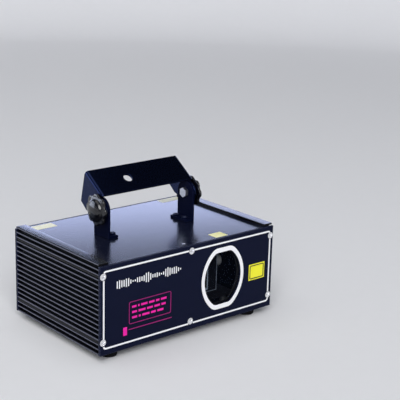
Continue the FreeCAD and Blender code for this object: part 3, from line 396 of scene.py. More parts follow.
# Painted shade: the feet and their screws wear the yoke's paint, made darker and duller here to stand in for the
# shade and dark reflection on them.
SHADED_LEG_LACQUER = Finish("leg_lacquer_painted_shade", (0.002, 0.0035, 0.018), 0.45, specular=0.02,
                     grain=Grain.POWDER, relief=0.04, wear_and_highlight=EDGE_WEAR_AND_HIGHLIGHT)
BOLT_STEEL = Finish("zinc_bolt", (0.55, 0.56, 0.60), 0.38, metallic=1.0, grain=Grain.MOULDED,
                    colour_spread=0.10)
BRIGHT_STEEL = Finish("plated_steel", (0.90, 0.90, 0.92), 0.26, metallic=1.0, colour_spread=0.05)
KNOB_GLOSS = Finish("knob_gloss", (0.002, 0.002, 0.004), 0.18, specular=0.45, coat=0.4,
                    grain=Grain.MOULDED, roughness_spread=0.02)
FOOT_RUBBER = Finish("black_rubber", (0.003, 0.003, 0.004), 0.75, specular=0.12,
                     grain=Grain.MOULDED, relief=0.2)
FIBRE = Finish("red_fibre", (0.12, 0.04, 0.02), 0.7, grain=Grain.POWDER)
PANE = Finish("coated_pane", (0.02, 0.03, 0.06), 0.05, specular=0.0, alpha=0.04, colour_spread=0.0,
              roughness_spread=0.0)
BLACK_PLASTIC = Finish("moulded_black", (0.008, 0.008, 0.010), 0.5, specular=0.35,
                       grain=Grain.MOULDED, relief=0.12)
ROCKER_RED = Finish("rocker_red_plastic", (0.45, 0.02, 0.02), 0.25, coat=0.3, grain=Grain.MOULDED)
BENCH_BLACK = Finish("bench_black", (0.006, 0.006, 0.008), 0.45, specular=0.2, grain=Grain.DRAWN,
                     relief=0.05)
# The mount's edges carry the painted glints.
MOUNT_BLACK = Finish("mount_black", (0.004, 0.004, 0.006), 0.5, specular=0.2, grain=Grain.DRAWN,
                     relief=0.05, wear_and_highlight=PAINTED_GLINTS)
ALUMINIUM = Finish("milled_aluminium", (0.55, 0.56, 0.58), 0.38, metallic=1.0, grain=Grain.DRAWN,
                   relief=0.05)
MOTOR_STEEL = Finish("motor_can", (0.84, 0.87, 0.93), 0.6, metallic=1.0, grain=Grain.DRAWN)
MIRROR = Finish("mirror_silver", (0.92, 0.92, 0.94), 0.04, metallic=1.0, colour_spread=0.0,
                roughness_spread=0.0)
BRASS = Finish("turned_brass", (0.70, 0.48, 0.18), 0.28, metallic=1.0, grain=Grain.DRAWN)
BOARD_GREEN = Finish("board_lacquer", (0.015, 0.13, 0.05), 0.45, grain=Grain.MOULDED)
DISPLAY = Finish("smoked_display", (0.05, 0.004, 0.004), 0.08, colour_spread=0.0)
INK_WHITE = Finish("white_ink", (0.90, 0.90, 0.92), 0.55, specular=0.3, colour_spread=0.03)
INK_MAGENTA = Finish("magenta_ink", (0.85, 0.01, 0.36), 0.55, specular=0.3, colour_spread=0.03)
INK_WINE = Finish("wine_ink", (0.32, 0.006, 0.15), 0.55, specular=0.3, colour_spread=0.03)
INK_DARK = Finish("dark_ink", (0.012, 0.012, 0.012), 0.6, colour_spread=0.03)
LABEL_YELLOW = Finish("yellow_label", (0.90, 0.86, 0.02), 0.45, colour_spread=0.03)
LABEL_STRAW = Finish("straw_label", (0.92, 0.88, 0.36), 0.45, colour_spread=0.03)
LABEL_PALE = Finish("pale_label", (0.92, 0.90, 0.66), 0.5, colour_spread=0.03)
COVE_PAPER = Finish("cove_paper", (0.84, 0.84, 0.86), 0.9, specular=0.0, colour_spread=0.01)


class Mesher:
    """Puts arrays of points and faces into Blender."""

    @staticmethod
    def piece(name: str, points: np.ndarray, faces: Sequence[Sequence[int]], finish: Finish,
              body: Optional[str] = None, slot: Optional[str] = None,
              smooth_deg: float = SMOOTH_DEG) -> bpy.types.Object:
        """Makes a mesh piece and reports it.

        Args:
            name: the piece's name.
            points: corner places, one row each.
            faces: corner numbers of each face.
            finish: what the piece is finished in.
            body: the body that carries it, or none for a piece of the stage.
            slot: the record's material slot, where one fits; not used.
            smooth_deg: edges sharper than this angle stay sharp.

        Returns:
            The new object, at the origin.
        """
        mesh = bpy.data.meshes.new(name)
        mesh.from_pydata(points.reshape(-1, 3).tolist(), [], [list(map(int, face)) for face in faces])
        mesh.validate()
        mesh.polygons.foreach_set("use_smooth", np.ones(len(mesh.polygons), dtype=bool))
        mesh.set_sharp_from_angle(angle=math.radians(smooth_deg))
        mesh.materials.append(finish.material())
        thing = bpy.data.objects.new(name, mesh)
        bpy.context.collection.objects.link(thing)
        if body:
            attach(thing, body)
        LOG.info("%s: %d faces on %s", name, len(mesh.polygons), body or "the stage")
        return thing

    @staticmethod
    def grid_faces(rows: int, columns: int, wrap: bool = False) -> np.ndarray:
        """The quads between closed rings of points, which are numbered ring by ring.

        Args:
            rows: how many rings there are.
            columns: points on each ring.
            wrap: whether the last ring joins the first.

        Returns:
            Four corner numbers for each quad.
        """
        row = np.arange(rows if wrap else rows - 1)[:, None]
        column = np.arange(columns)[None, :]
        after_row, after_column = (row + 1) % rows, (column + 1) % columns
        quads = [row * columns + column, row * columns + after_column,
                 after_row * columns + after_column, after_row * columns + column]
        return np.stack(np.broadcast_arrays(*quads), axis=-1).reshape(-1, 4)

    @staticmethod
    def closed_tube(rows: int, columns: int, flip: bool) -> list[np.ndarray]:
        """The faces of a tube of closed rings with a lid on each end.

        Args:
            rows: how many rings there are.
            columns: points on each ring.
            flip: whether the faces are turned to look the other way.

        Returns:
            Corner numbers of all quads, then of the two lids.
        """
        first = np.arange(columns)
        faces = [*Mesher.grid_faces(rows, columns), first[::-1], first + (rows - 1) * columns]
        return [face[::-1] for face in faces] if flip else faces

    @staticmethod
    def blocks(lows: np.ndarray, highs: np.ndarray) -> tuple[np.ndarray, np.ndarray]:
        """Corners and faces of many blocks at once: corner = low + pattern of 0 and 1 times (high - low).

        Args:
            lows: the low corner of each block.
            highs: the high corner of each block.

        Returns:
            All points and all quads.
        """
        pattern = np.array([(x, y, z) for x in (0, 1) for y in (0, 1) for z in (0, 1)], dtype=float)
        points = lows[:, None, :] + pattern[None] * (highs - lows)[:, None, :]
        quads = np.array([(0, 1, 3, 2), (4, 6, 7, 5), (0, 4, 5, 1), (2, 3, 7, 6), (0, 2, 6, 4), (1, 5, 7, 3)])
        faces = quads[None] + len(pattern) * np.arange(len(lows))[:, None, None]
        return points.reshape(-1, 3), faces.reshape(-1, 4)


class Outline:
    """Outlines in a plane, as rows of two coordinates."""

    @staticmethod
    def arc(centre: Pair, radius: float, start_deg: float, end_deg: float, count: int) -> np.ndarray:
        """Points on an arc: centre + radius times the cosine and sine of an evenly growing angle."""
        angle = np.radians(np.linspace(start_deg, end_deg, count))
        return np.stack([centre[0] + radius * np.cos(angle), centre[1] + radius * np.sin(angle)], axis=1)

    @staticmethod
    def rounded_box(centre: Pair, half_width: float, half_height: float, radius: float,
                    step: float, count: int = 8) -> np.ndarray:
        """A box with rounded corners: four quarter arcs, one in each corner.

        Args:
            centre: the box's centre.
            half_width: half of its width.
            half_height: half of its height.
            radius: the corners' radius.
            step: about how far apart the points are.
            count: points on each corner before the outline is spread into even steps.

        Returns:
            The closed outline, which runs anticlockwise.
        """
        x, y = half_width - radius, half_height - radius
        corners = [(x, y), (-x, y), (-x, -y), (x, -y)]
        arcs = [Outline.arc(corner, radius, 90 * turn, 90 * turn + 90, count)
                for turn, corner in enumerate(corners)]
        return Outline.dense(np.concatenate(arcs), step) + np.array(centre)

    @staticmethod
    def dense(outline: np.ndarray, step: float) -> np.ndarray:
        """The same closed outline with points at even steps along its length.

        Args:
            outline: the closed outline.
            step: about how far apart the points are.

        Returns:
            The new points.
        """
        closed = np.concatenate([outline, outline[:1]])
        run = np.concatenate([[0.0], np.cumsum(np.linalg.norm(np.diff(closed, axis=0), axis=1))])
        places = np.linspace(0.0, run[-1], int(run[-1] / step), endpoint=False)
        return np.stack([np.interp(places, run, closed[:, axis]) for axis in (0, 1)], axis=1)

    @staticmethod
    def offset(outline: np.ndarray, distance: float) -> np.ndarray:
        """Moves each point outwards, square to the line between its two neighbours.

        Args:
            outline: a closed outline that runs anticlockwise.
            distance: how far the points move, below 0 for inwards.

        Returns:
            The moved points.
        """
        along = np.roll(outline, -1, axis=0) - np.roll(outline, 1, axis=0)
        along = along / np.linalg.norm(along, axis=1, keepdims=True)
        return outline + distance * np.stack([along[:, 1], -along[:, 0]], axis=1)


@dataclass
class Softened:
    """A copy of a CAD node with slightly rounded edges, in its finish.

    Attributes:
        edge: width of the rounding.
        segments: steps across the rounding.
        sharp_deg: edges sharper than this angle are rounded.
        join: corners that lie in the same step of this length become one.
    """

    node: str
    finish: Finish
    edge: float
    segments: int = 2
    sharp_deg: float = 40.0
    join: float = 2e-6

    def joined(self) -> tuple[np.ndarray, np.ndarray]:
        """Joins the corners that share a place.

        Returns:
            The corners' places, and the triangles that still have three corners.
        """
        source = frame["nodes"][self.node].data
        places = np.empty(len(source.vertices) * 3)
        source.vertices.foreach_get("co", places)
        places = places.reshape(-1, 3)
        corners = np.empty(len(source.loops), dtype=np.int64)
        source.loops.foreach_get("vertex_index", corners)
        keys = np.round(places / self.join).astype(np.int64)
        _, first, same = np.unique(keys, axis=0, return_index=True, return_inverse=True)
        faces = same.reshape(-1)[corners].reshape(-1, 3)
        whole = (faces != np.roll(faces, 1, axis=1)).all(axis=1)
        return places[first], faces[whole]

    def build(self) -> None:
        """Makes the copy that stands for the node, with its sharp edges bevelled."""
        points, faces = self.joined()
        body = body_of(frame["nodes"][self.node])[0]
        slot = next(part["material_slot"] for part in frame["record"]["subparts"] if part["node"] == self.node)
        copy = Mesher.piece(f"{self.node}_dressed", points, faces, self.finish, body, slot)
        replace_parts(copy, self.node)
        bevel = copy.modifiers.new("edge", "BEVEL")
        bevel.width = self.edge
        bevel.segments = self.segments
        bevel.limit_method = "ANGLE"
        bevel.angle_limit = math.radians(self.sharp_deg)
        bevel.loop_slide = False
        bevel.harden_normals = True


@dataclass
class RibbedSide:
    """A side extrusion with rounded rib tips: its outline in X and Z carried straight along Y.

    Attributes:
        web: thickness of the wall behind the ribs.
        flange: depth of the two flanges, which hold the cover and the bottom plate in a groove.
        sheet: thickness of the cover and the bottom plate.
        drop: how far they lie inside the outer faces of the flanges.
        lip: thickness of the ledge on the groove's other side.
        slip: clearance on each side of a sheet in its groove.
    """

    hand: str
    side: int
    ribs: int = 19
    rib_depth: float = 4 * MM
    rib_thick: float = 2.2 * MM
    tip: float = 0.85 * MM
    tip_steps: int = 5
    web: float = 3 * MM
    flange: float = 12 * MM
    sheet: float = 2 * MM
    drop: float = 3 * MM
    lip: float = 2 * MM
    slip: float = 0.2 * MM
    smooth_deg: float = 50.0
    boss_radius: float = 3.5 * MM
    boss_side: float = 3.9 * MM
    boss_rise: float = 13.9 * MM
    boss_steps: int = 32

    def __post_init__(self) -> None:
        """Reads the corners of the CAD node's box and how far out its outer face is."""
        self.node = f"side_extrusion_{self.hand}"
        self.low, self.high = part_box(self.node)
        self.outer = max(abs(self.low[0]), abs(self.high[0]))

    def profile(self) -> np.ndarray:
        """The closed outline.

        One rib's tip, two small arcs, is repeated at even steps by adding the step times the rib's number.

        Returns:
            Rows of distance from the middle and height.
        """
        low, high = self.low[2], self.high[2]
        pitch = (high - low - self.rib_thick) / (self.ribs - 1)
        root, reach = self.outer - self.rib_depth, self.outer - self.tip
        lower = Outline.arc((reach, self.tip), self.tip, -90, 0, self.tip_steps)
        upper = Outline.arc((reach, self.rib_thick - self.tip), self.tip, 0, 90, self.tip_steps)
        rib = np.concatenate([[(root, 0.0)], lower, upper, [(root, self.rib_thick)]])
        steps = np.arange(self.ribs)[:, None, None] * np.array([0.0, pitch])
        outside = (rib[None] + steps + np.array([0.0, low])).reshape(-1, 2)[1:-1]
        web, edge = root - self.web, self.outer - self.flange
        near, far = self.drop - self.slip, self.drop + self.sheet + self.slip
        end = far + self.lip
        upper_groove = [(edge, high), (edge, high - near), (web, high - near), (web, high - far),
                        (edge, high - far), (edge, high - end), (web, high - end)]
        lower_groove = [(web, low + end), (edge, low + end), (edge, low + far), (web, low + far),
                        (web, low + near), (edge, low + near), (edge, low)]
        return np.concatenate([outside, upper_groove, lower_groove])

    def prism(self, name: str, flat: np.ndarray, smooth_deg: float = SMOOTH_DEG) -> bpy.types.Object:
        """Carries a closed outline straight from the front end to the back end.

        Args:
            name: the piece's name.
            flat: rows of distance from the middle and height.
            smooth_deg: edges sharper than this angle stay sharp.

        Returns:
            The piece, closed at both ends.
        """
        points = np.empty((2, len(flat), 3))
        points[..., 0] = self.side * flat[None, :, 0]
        points[..., 1] = np.array([self.low[1], self.high[1]])[:, None]
        points[..., 2] = flat[None, :, 1]
        faces = Mesher.closed_tube(2, len(flat), self.side > 0)
        return Mesher.piece(name, points, faces, CASE_BLACK, HOUSING, "case_black", smooth_deg)

    def build(self) -> None:
        """Makes the ribbed side and the two screw bosses in its grooves."""
        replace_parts(self.prism(f"{self.node}_dressed", self.profile(), self.smooth_deg), self.node)
        heights = {"low": self.low[2] + self.boss_rise, "high": self.high[2] - self.boss_rise}
        for name, height in heights.items():
            centre = self.outer - self.boss_side, height
            ring = Outline.arc(centre, self.boss_radius, 0, 360, self.boss_steps + 1)[:-1]
            self.prism(f"screw_boss_{self.hand}_{name}", ring)


@dataclass
class ClampKnob:
    """A lobed clamp knob: a skirt with scallops and a domed cap on it, turned about the pivot.

    The profile's rows hold the distance from the knob's seat and the radius, both in millimetres, and the share
    of the scallops that shows there.
    """

    hand: str
    side: int
    lobes: int = 8
    scallop: float = 0.115
    scallop_power: float = 1.5
    around: int = 128
    smooth_deg: float = 60.0
    profile: tuple[Triple, ...] = (
        (0.0, 12.0, 0.0), (0.0, 16.6, 1.0), (0.2, 17.4, 1.0), (0.7, 17.9, 1.0), (1.2, 18.0, 1.0),
        (1.9, 18.0, 1.0), (2.5, 17.7, 1.0), (2.9, 17.0, 1.0), (3.1, 15.6, 0.7), (3.3, 13.6, 0.2),
        (3.7, 12.5, 0.0), (4.4, 12.0, 0.0), (5.2, 11.6, 0.0), (6.1, 10.9, 0.0), (7.0, 9.6, 0.0),
        (7.8, 7.8, 0.0), (8.4, 5.6, 0.0), (8.8, 3.2, 0.0), (8.98, 1.0, 0.0),
    )

    def build(self) -> None:
        """Makes the knob.

        Each ring's radius is cut by the scallop depth times half of 1 - cos(lobes x angle), raised to a power.
        """
        node = f"clamp_knob_{self.hand}"
        low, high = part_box(node)
        base = low[0] if self.side > 0 else high[0]
        centre = (low[1] + high[1]) / 2, (low[2] + high[2]) / 2
        shape = np.array(self.profile)
        axis, radius, cut = shape[:, 0] * MM, shape[:, 1] * MM, shape[:, 2]
        angle = np.linspace(0, 2 * math.pi, self.around, endpoint=False)
        hollow = (0.5 - 0.5 * np.cos(self.lobes * angle)) ** self.scallop_power
        reach = radius[:, None] * (1 - self.scallop * cut[:, None] * hollow[None, :])
        points = np.empty((len(shape), self.around, 3))
        points[..., 0] = base + self.side * axis[:, None]
        points[..., 1] = centre[0] + reach * np.cos(angle)[None, :]
        points[..., 2] = centre[1] + reach * np.sin(angle)[None, :]
        faces = Mesher.closed_tube(len(shape), self.around, self.side > 0)
        thing = Mesher.piece(f"{node}_dressed", points, faces, KNOB_GLOSS, f"{self.hand}_knob", "knob_black",
                             self.smooth_deg)
        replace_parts(thing, node)


@dataclass
class PanelPrint:
    """Print that stands a little proud of the front panel, placed from the case's middle and bottom."""

    proud: float = 0.25 * MM

    def __post_init__(self) -> None:
        """Reads where the panel's outer face and the case's bottom are."""
        low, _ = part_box("front_panel")
        self.front, self.floor = low[1], low[2]

    def band(self, name: str, inner: np.ndarray, outer: np.ndarray, finish: Finish,
             keep: Optional[np.ndarray] = None, lift: float = 0.0) -> None:
        """A flat band between two closed outlines: a square profile of four corners carried round them.

        Args:
            name: the piece's name.
            inner: the inner outline, X and height above the case's bottom.
            outer: the outer outline, with as many points.
            finish: the ink.
            keep: which steps of the outline are drawn, all if left out.
            lift: how far the band's back stands off the panel.
        """
        count = len(inner)
        back, front = self.front - lift, self.front - lift - self.proud
        rows = [(inner, back), (inner, front), (outer, front), (outer, back)]
        points = np.empty((len(rows), count, 3))
        points[..., 0] = np.stack([outline[:, 0] for outline, _ in rows])
        points[..., 1] = np.array([depth for _, depth in rows])[:, None]
        points[..., 2] = np.stack([outline[:, 1] for outline, _ in rows]) + self.floor
        faces = Mesher.grid_faces(len(rows), count, wrap=True).reshape(len(rows), count, 4)
        if keep is not None:
            faces = faces[:, keep]
        Mesher.piece(name, points, faces.reshape(-1, 4), finish, HOUSING)

    def line(self, name: str, outline: np.ndarray, half_width: float, finish: Finish,
             keep: Optional[np.ndarray] = None, lift: float = 0.0) -> None:
        """A line of even width along a closed outline: a band that reaches half its width to both sides."""
        inner, outer = Outline.offset(outline, -half_width), Outline.offset(outline, half_width)
        self.band(name, inner, outer, finish, keep, lift)

    def plates(self, name: str, spans: np.ndarray, finish: Finish) -> None:
        """Thin flat plates on the panel, all in one piece.

        Args:
            name: the piece's name.
            spans: rows of left, right, low and high.
            finish: the ink.
        """
        depth = np.full(len(spans), self.front)
        lows = np.stack([spans[:, 0], depth - self.proud, spans[:, 2] + self.floor], axis=1)
        highs = np.stack([spans[:, 1], depth, spans[:, 3] + self.floor], axis=1)
        points, faces = Mesher.blocks(lows, highs)
        Mesher.piece(name, points, faces, finish, HOUSING)


@dataclass
class FrontBorder(PanelPrint):
    """The white line along the panel's edge, which stops short of the six screws."""

    centre: Pair = (0.0, 48.65 * MM)
    half_width: float = 115.4 * MM
    half_height: float = 41.65 * MM
    corner: float = 3.0 * MM
    half_line: float = 0.9 * MM
    step: float = 0.5 * MM
    screw_clear: float = 4.1 * MM
    screw_side: float = 116.1 * MM
    screw_rise: float = 13.9 * MM
    middle_rise: float = 9.4 * MM
    case_height: float = 99 * MM

    def screws(self) -> np.ndarray:
        """Places of the six screws.

        Returns:
            Rows of X and height: two on each side, then two in the middle.
        """
        top = self.case_height
        sides = [(x, z) for x in (-self.screw_side, self.screw_side)
                 for z in (self.screw_rise, top - self.screw_rise)]
        return np.array([*sides, (0.0, self.middle_rise), (0.0, top - self.middle_rise)])

    def build(self) -> None:
        """Prints the steps of the line that are clear of every screw."""
        line = Outline.rounded_box(self.centre, self.half_width, self.half_height, self.corner, self.step)
        apart = np.linalg.norm(line[:, None, :] - self.screws()[None], axis=2).min(axis=1)
        self.line("front_border", line, self.half_line, INK_WHITE, np.flatnonzero(apart > self.screw_clear))


@dataclass
class WindowRing(PanelPrint):
    """The white ring round the window, which is a little slimmer at its sides."""

    centre: Pair = (45.5 * MM, 49.6 * MM)
    arc: float = 37 * MM
    arc_offset: float = 10.5 * MM
    half_height: float = 30.3 * MM
    corner: float = 8 * MM
    width: float = 5.2 * MM
    slim: float = 1.0 * MM
    side_steps: int = 20
    corner_steps: int = 14

    def outline(self, grow: float) -> np.ndarray:
        """The window's outline, grown outwards, about its own centre.

        The sides are arcs whose centres lie past the middle, the top and bottom are flat, and each corner is an
        arc that touches both: its centre is the corner radius below the flat and inside the side arc.

        Args:
            grow: how far the outline is moved outwards.

        Returns:
            Rows of X and height.
        """
        radius, half, corner = self.arc + grow, self.half_height + grow, self.corner + grow
        rise = half - corner
        across = math.sqrt((radius - corner) ** 2 - rise ** 2) - self.arc_offset
        lean = math.degrees(math.atan2(rise, across + self.arc_offset))
        side = Outline.arc((-self.arc_offset, 0.0), radius, -lean, lean, 2 * self.side_steps)
        bend = Outline.arc((across, rise), corner, lean, 90, self.corner_steps)
        quarter = np.concatenate([side[self.side_steps:], bend])
        top = np.concatenate([quarter, quarter[::-1] * np.array([-1.0, 1.0])])
        return np.concatenate([top, top[::-1] * np.array([1.0, -1.0])])

    def build(self) -> None:
        """Prints the ring from the window's edge to the grown outline, drawn in a little in X."""
        rim = self.outline(self.width)
        rim = rim * np.array([1.0 - self.slim / rim[:, 0].max(), 1.0])
        centre = np.array(self.centre)
        self.band("window_ring", self.outline(0.0) + centre, rim + centre, INK_WHITE)


@dataclass
class LevelBars(PanelPrint):
    """A row of slim bars of changing height: a plain level meter.

    Each of the waves holds its swing, and its growth along the row and its start in radians.
    """

    count: int = 30
    left: float = -98.5 * MM
    right: float = -15.5 * MM
    middle: float = 73.0 * MM
    half_width: float = 0.62 * MM
    mean: float = 4.6 * MM
    waves: tuple[Triple, ...] = ((2.6 * MM, 17.0, 0.0), (1.8 * MM, 41.0, 1.0))
    least: float = 1.4 * MM
    most: float = 9.0 * MM
    reach: float = 0.62

    def build(self) -> None:
        """Prints the bars, which reach a share of mean + two sine waves up and down, within limits."""
        place = np.linspace(self.left, self.right, self.count)
        phase = np.linspace(0.0, 1.0, self.count)
        level = self.mean + sum(swing * np.sin(phase * turns + start) for swing, turns, start in self.waves)
        half_height = self.reach * np.clip(level, self.least, self.most)
        spans = np.stack([place - self.half_width, place + self.half_width,
                          self.middle - half_height, self.middle + half_height], axis=1)
        self.plates("level_bars", spans, INK_WHITE)


@dataclass
class Notice(PanelPrint):
    """A thin frame with rows of plain dashes in it, and a small square with a rule beside it.

    Each of the rows holds its height and the dashes' lengths, and the square and the rule hold their left, right,
    low and high, all in millimetres.
    """

    centre: Pair = (-55.5 * MM, 38.5 * MM)
    half_width: float = 27.5 * MM
    half_height: float = 12.0 * MM
    corner: float = 1.8 * MM
    step: float = 0.8 * MM
    half_line: float = 0.38 * MM
    dash_left: float = -79.4 * MM
    dash_gap: float = 2.2 * MM
    half_dash: float = 1.15 * MM
    rows: tuple[tuple[float, tuple[float, ...]], ...] = (
        (44.8, (5.6, 1.8, 8.2, 7.0, 4.4, 7.4)),
        (38.9, (6.2, 9.0, 7.6, 7.2, 5.6)),
        (33.0, (6.6, 2.4, 9.4, 6.2, 8.0)),
    )
    square: Span = (-90.6, -85.9, 15.2, 24.2)
    rule: Span = (-83.5, -26.5, 20.1, 21.0)

    def row(self, height: float, length: np.ndarray) -> np.ndarray:
        """One row of dashes: each starts where those before it and their gaps end.

        Args:
            height: the row's height.
            length: each dash's length.

        Returns:
            Left, right, low and high of each dash.
        """
        left = self.dash_left + np.cumsum(length + self.dash_gap) - length - self.dash_gap
        level = np.full(len(length), height)
        return np.stack([left, left + length, level - self.half_dash, level + self.half_dash], axis=1)

    def build(self) -> None:
        """Prints the frame, the dashes, the square and the rule."""
        box = Outline.rounded_box(self.centre, self.half_width, self.half_height, self.corner, self.step)
        self.line("notice_frame", box, self.half_line, INK_WINE)
        dashes = [self.row(height * MM, np.array(lengths) * MM) for height, lengths in self.rows]
        self.plates("notice_dashes", np.concatenate(dashes), INK_MAGENTA)
        self.plates("notice_square", np.array([self.square]) * MM, INK_MAGENTA)
        self.plates("notice_rule", np.array([self.rule]) * MM, INK_WINE)


@dataclass
class SideLabel(PanelPrint):
    """A blank yellow label with a thin dark frame on it."""

    centre: Pair = (96.4 * MM, 46.6 * MM)
    half_width: float = 11.9 * MM
    half_height: float = 9.4 * MM
    frame_inset: float = 1.8 * MM
    corner: float = 0.8 * MM
    step: float = 0.8 * MM
    half_line: float = 0.5 * MM

    def build(self) -> None:
        """Sticks the label on and prints its frame."""
        x, z = self.centre
        span = (x - self.half_width, x + self.half_width, z - self.half_height, z + self.half_height)
        self.plates("side_label", np.array([span]), LABEL_YELLOW)
        half_width, half_height = self.half_width - self.frame_inset, self.half_height - self.frame_inset
        box = Outline.rounded_box(self.centre, half_width, half_height, self.corner, self.step)
        self.line("side_label_frame", box, self.half_line, INK_DARK, lift=self.proud)


@dataclass
class CoverLabels:
    """Blank labels stuck to the top cover.

    Each place holds the label's left and right in X and its near and far edge from the front face, in millimetres.
    """

    thick: float = 0.12 * MM
    places: tuple[tuple[str, float, float, float, float, Finish], ...] = (
        ("cover_label_left", -105, -77, 141, 154.5, LABEL_PALE),
        ("cover_label_right", 76, 106, 145, 156.5, LABEL_PALE),
        ("cover_label_front", 38, 55, 4.5, 18, LABEL_STRAW),
    )

    def build(self) -> None:
        """Puts each label on the cover's top face."""
        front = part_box("front_panel")[0][1]
        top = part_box("top_cover")[1][2]
        for name, left, right, near, far, finish in self.places:
            low = np.array([[left * MM, front + near * MM, top]])
            high = np.array([[right * MM, front + far * MM, top + self.thick]])
            points, faces = Mesher.blocks(low, high)
            Mesher.piece(name, points, faces, finish, HOUSING)


@dataclass
class Dressing:
    """Gives the listed CAD nodes their finish, as they are or as softened copies."""

    plain: ClassVar[dict[Finish, tuple[str, ...]]] = {
        BRIGHT_STEEL: ("sheet_screws", "foot_screws", "fan_screws"),
        ALUMINIUM: ("panel_ties", "stand_offs", "red_laser_saddle", "combiner_post", "green_laser"),
        BENCH_BLACK: ("optical_bench",),
        MOUNT_BLACK: ("scanner_block",),
        MOTOR_STEEL: ("x_scanner_motor", "y_scanner_motor", "dial_potentiometer"),
        MIRROR: ("x_mirror", "y_mirror"),
        BRASS: ("red_laser", "inlet_blades", "signal_pins"),
        BOARD_GREEN: ("power_board", "control_board", "menu_board"),
        PANE: ("window_glass", "combiner_glass"),
        BLACK_PLASTIC: ("window_retainer", "fan_rotor", "fan_frame"),
        FIBRE: ("fibre_washers",),
        DISPLAY: ("menu_display",),
        COVER_LACQUER: ("top_cover", "bottom_plate"),
        PANEL_NAVY: ("front_panel", "rear_panel"),
    }
    softened: ClassVar[tuple[Softened, ...]] = (
        Softened("yoke", YOKE_LACQUER, 0.45 * MM),
        *(Softened(f"yoke_foot_{hand}", SHADED_LEG_LACQUER, 0.45 * MM) for hand in HANDS),
        Softened("yoke_foot_screws", SHADED_LEG_LACQUER, 0.4 * MM),
        Softened("panel_screws", BRIGHT_STEEL, 0.12 * MM),
        *(Softened(f"pivot_bolt_{hand}", BOLT_STEEL, 0.3 * MM) for hand in HANDS),
        Softened("clamp_washers", BOLT_STEEL, 0.2 * MM),
        *(Softened(f"foot_{end}_{hand}", FOOT_RUBBER, 1.0 * MM, 3)
          for end in ("front", "rear") for hand in HANDS),
        Softened("fan_guard", BLACK_PLASTIC, 0.3 * MM),
        Softened("power_inlet", BLACK_PLASTIC, 0.5 * MM),
        Softened("fuse_drawer", BLACK_PLASTIC, 0.4 * MM),
        Softened("power_switch", BLACK_PLASTIC, 0.4 * MM),
        Softened("switch_rocker", ROCKER_RED, 0.4 * MM),
        *(Softened(f"signal_{way}_socket", BLACK_PLASTIC, 0.5 * MM) for way in ("in", "out")),
        *(Softened(f"menu_button_{number}", BLACK_PLASTIC, 0.4 * MM) for number in range(1, 5)),
        Softened("sensitivity_dial", BLACK_PLASTIC, 0.5 * MM),
    )

    def build(self) -> None:
        """Dresses the plain nodes, then makes the softened copies."""
        for finish, nodes in self.plain.items():
            for node in nodes:
                mesh = frame["nodes"][node].data
                mesh.materials.clear()
                mesh.materials.append(finish.material())
                LOG.info("%s: %s", node, finish.name)
        for copy in self.softened:
            copy.build()


@dataclass(frozen=True)
class Lamp:
    """A soft rectangular lamp that faces a point. With gloss_only it shows in glossy surfaces alone."""

    name: str
    place: Place
    width: float
    height: float
    watts: float
    colour: Colour = (1.0, 1.0, 1.0)
    aim: Place = (0.0, 0.0, 0.08)
    gloss_only: bool = False

    def hang(self) -> None:
        """Hangs the lamp in the scene."""
        data = bpy.data.lights.new(self.name, "AREA")
        data.shape = "RECTANGLE"
        data.size, data.size_y = self.width, self.height
        data.energy, data.color = self.watts, self.colour
        lamp = bpy.data.objects.new(self.name, data)
        lamp.location = self.place
        toward = Vector(self.aim) - Vector(self.place)
        lamp.rotation_euler = toward.to_track_quat("-Z", "Y").to_euler()
        if self.gloss_only:
            lamp.visible_diffuse = lamp.visible_camera = lamp.visible_transmission = False
        bpy.context.collection.objects.link(lamp)
        LOG.info("%s: %.1f W", self.name, self.watts)


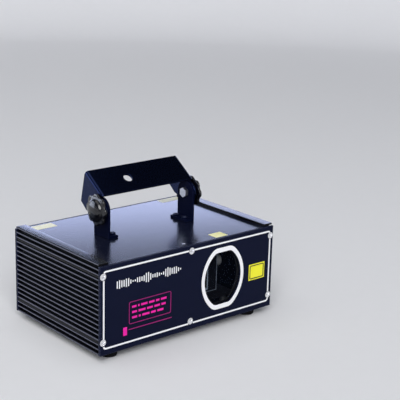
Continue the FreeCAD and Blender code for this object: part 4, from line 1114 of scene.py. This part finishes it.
@dataclass
class Studio:
    """A round pale cove with an open top, an even dim sky and soft lamps.

    The sky fades from its low to its high strength between the two heights of sky_fade, on a sphere of radius 1.
    """

    flat: float = 2.2
    bend: float = 0.5
    height: float = 0.85
    floor_rings: tuple[float, ...] = (0.0, 0.3, 0.8)
    bend_steps: int = 17
    around: int = 96
    smooth_deg: float = 180.0
    sky_colour: Colour = (0.64, 0.78, 1.0)
    sky_low: float = 0.24
    sky_high: float = 0.05
    sky_fade: Pair = (0.25, 0.75)
    lamps: tuple[Lamp, ...] = (
        Lamp("key_lamp", (-3.2, -4.1, 3.6), 4.0, 4.0, 345.0),
        Lamp("overhead_lamp", (-0.6, 0.3, 3.2), 3.3, 3.3, 36.0, aim=(-0.6, 0.3, 0.0)),
        Lamp("back_left_card", (-0.42, 0.42, 0.31), 0.42, 0.40, 1.7, (0.72, 0.80, 1.0),
             (-0.11, 0.0, 0.31), gloss_only=True),
        Lamp("back_card", (0.40, 0.46, 0.241), 0.95, 0.112, 1.45, (0.54, 0.62, 1.0),
             (0.07, -0.48, 0.241), gloss_only=True),
    )

    def build(self) -> None:
        """Stands the cove round the object, lights the sky and hangs the lamps."""
        self.cove()
        self.sky()
        for lamp in self.lamps:
            lamp.hang()

    def sky(self) -> None:
        """Lights the sky, which is dimmer overhead."""
        world = bpy.data.worlds.new("studio_sky")
        bpy.context.scene.world = world
        world.use_nodes = True
        sky = Shader(world.node_tree)
        height = sky.along("Z", "Generated")
        strength = sky.ramp(height, *self.sky_fade, self.sky_low, self.sky_high, Ramp.SMOOTH)
        light = sky.node("ShaderNodeBackground", {}, {"Color": self.sky_colour, "Strength": strength})
        sky.end(light, "ShaderNodeOutputWorld")

    def cove(self) -> None:
        """The floor and wall in one sheet: a profile of floor, quarter bend and wall turned round the Z axis."""
        floor = [(ring, 0.0) for ring in self.floor_rings]
        arc = Outline.arc((self.flat, self.bend), self.bend, -90, 0, self.bend_steps)
        profile = np.concatenate([floor, arc, [(self.flat + self.bend, self.height)]])
        angle = np.linspace(0, 2 * math.pi, self.around, endpoint=False)
        points = np.empty((len(profile), self.around, 3))
        points[..., 0] = profile[:, None, 0] * np.cos(angle)
        points[..., 1] = profile[:, None, 0] * np.sin(angle)
        points[..., 2] = profile[:, None, 1]
        faces = Mesher.grid_faces(len(profile), self.around)
        Mesher.piece("studio_cove", points, faces, COVE_PAPER, smooth_deg=self.smooth_deg)


@dataclass
class ShowCamera:
    """The camera, set by the angles and distance from which the object is seen."""

    azimuth: float = -40.940
    elevation: float = 15.987
    roll: float = 1.521
    across: float = 10.797 * MM
    up: float = 140.419 * MM
    distance: float = 1203.56 * MM
    focal_pixels: float = 1107.54
    picture_pixels: float = 400.0
    film: float = 36.0
    nearest: float = 0.01
    farthest: float = 60.0
    aim: Place = (0.0, -84.7 * MM, 9.0 * MM)

    def build(self) -> None:
        """Places the camera: the aim point plus the shares across, up and back in the turned axes."""
        azimuth, elevation, roll = (math.radians(angle) for angle in (self.azimuth, self.elevation, self.roll))
        level = math.cos(elevation)
        back = Vector((math.sin(azimuth) * level, -math.cos(azimuth) * level, math.sin(elevation)))
        right = Vector((math.cos(azimuth), math.sin(azimuth), 0.0))
        above = back.cross(right)
        turned_right = math.cos(roll) * right + math.sin(roll) * above
        turned_up = -math.sin(roll) * right + math.cos(roll) * above
        data = bpy.data.cameras.new("show_camera")
        data.lens = self.focal_pixels / self.picture_pixels * self.film
        data.sensor_width = self.film
        data.clip_start, data.clip_end = self.nearest, self.farthest
        camera = bpy.data.objects.new("show_camera", data)
        turn = Matrix((turned_right, turned_up, back)).transposed()
        place = Vector(self.aim) + self.across * turned_right + self.up * turned_up + self.distance * back
        camera.matrix_world = Matrix.Translation(place) @ turn.to_4x4()
        bpy.context.collection.objects.link(camera)
        bpy.context.scene.camera = camera


def main() -> None:
    """Builds the looks in order."""
    logging.basicConfig(level=logging.INFO, format="%(name)s %(message)s")
    bpy.context.scene.view_settings.view_transform = "Standard"
    Dressing().build()
    for hand, side in HANDS.items():
        RibbedSide(hand, side).build()
        ClampKnob(hand, side).build()
    for mark in (FrontBorder(), WindowRing(), LevelBars(), Notice(), SideLabel(), CoverLabels()):
        mark.build()
    Studio().build()
    ShowCamera().build()
    bpy.context.view_layer.update()


if __name__ == "__main__":
    main()
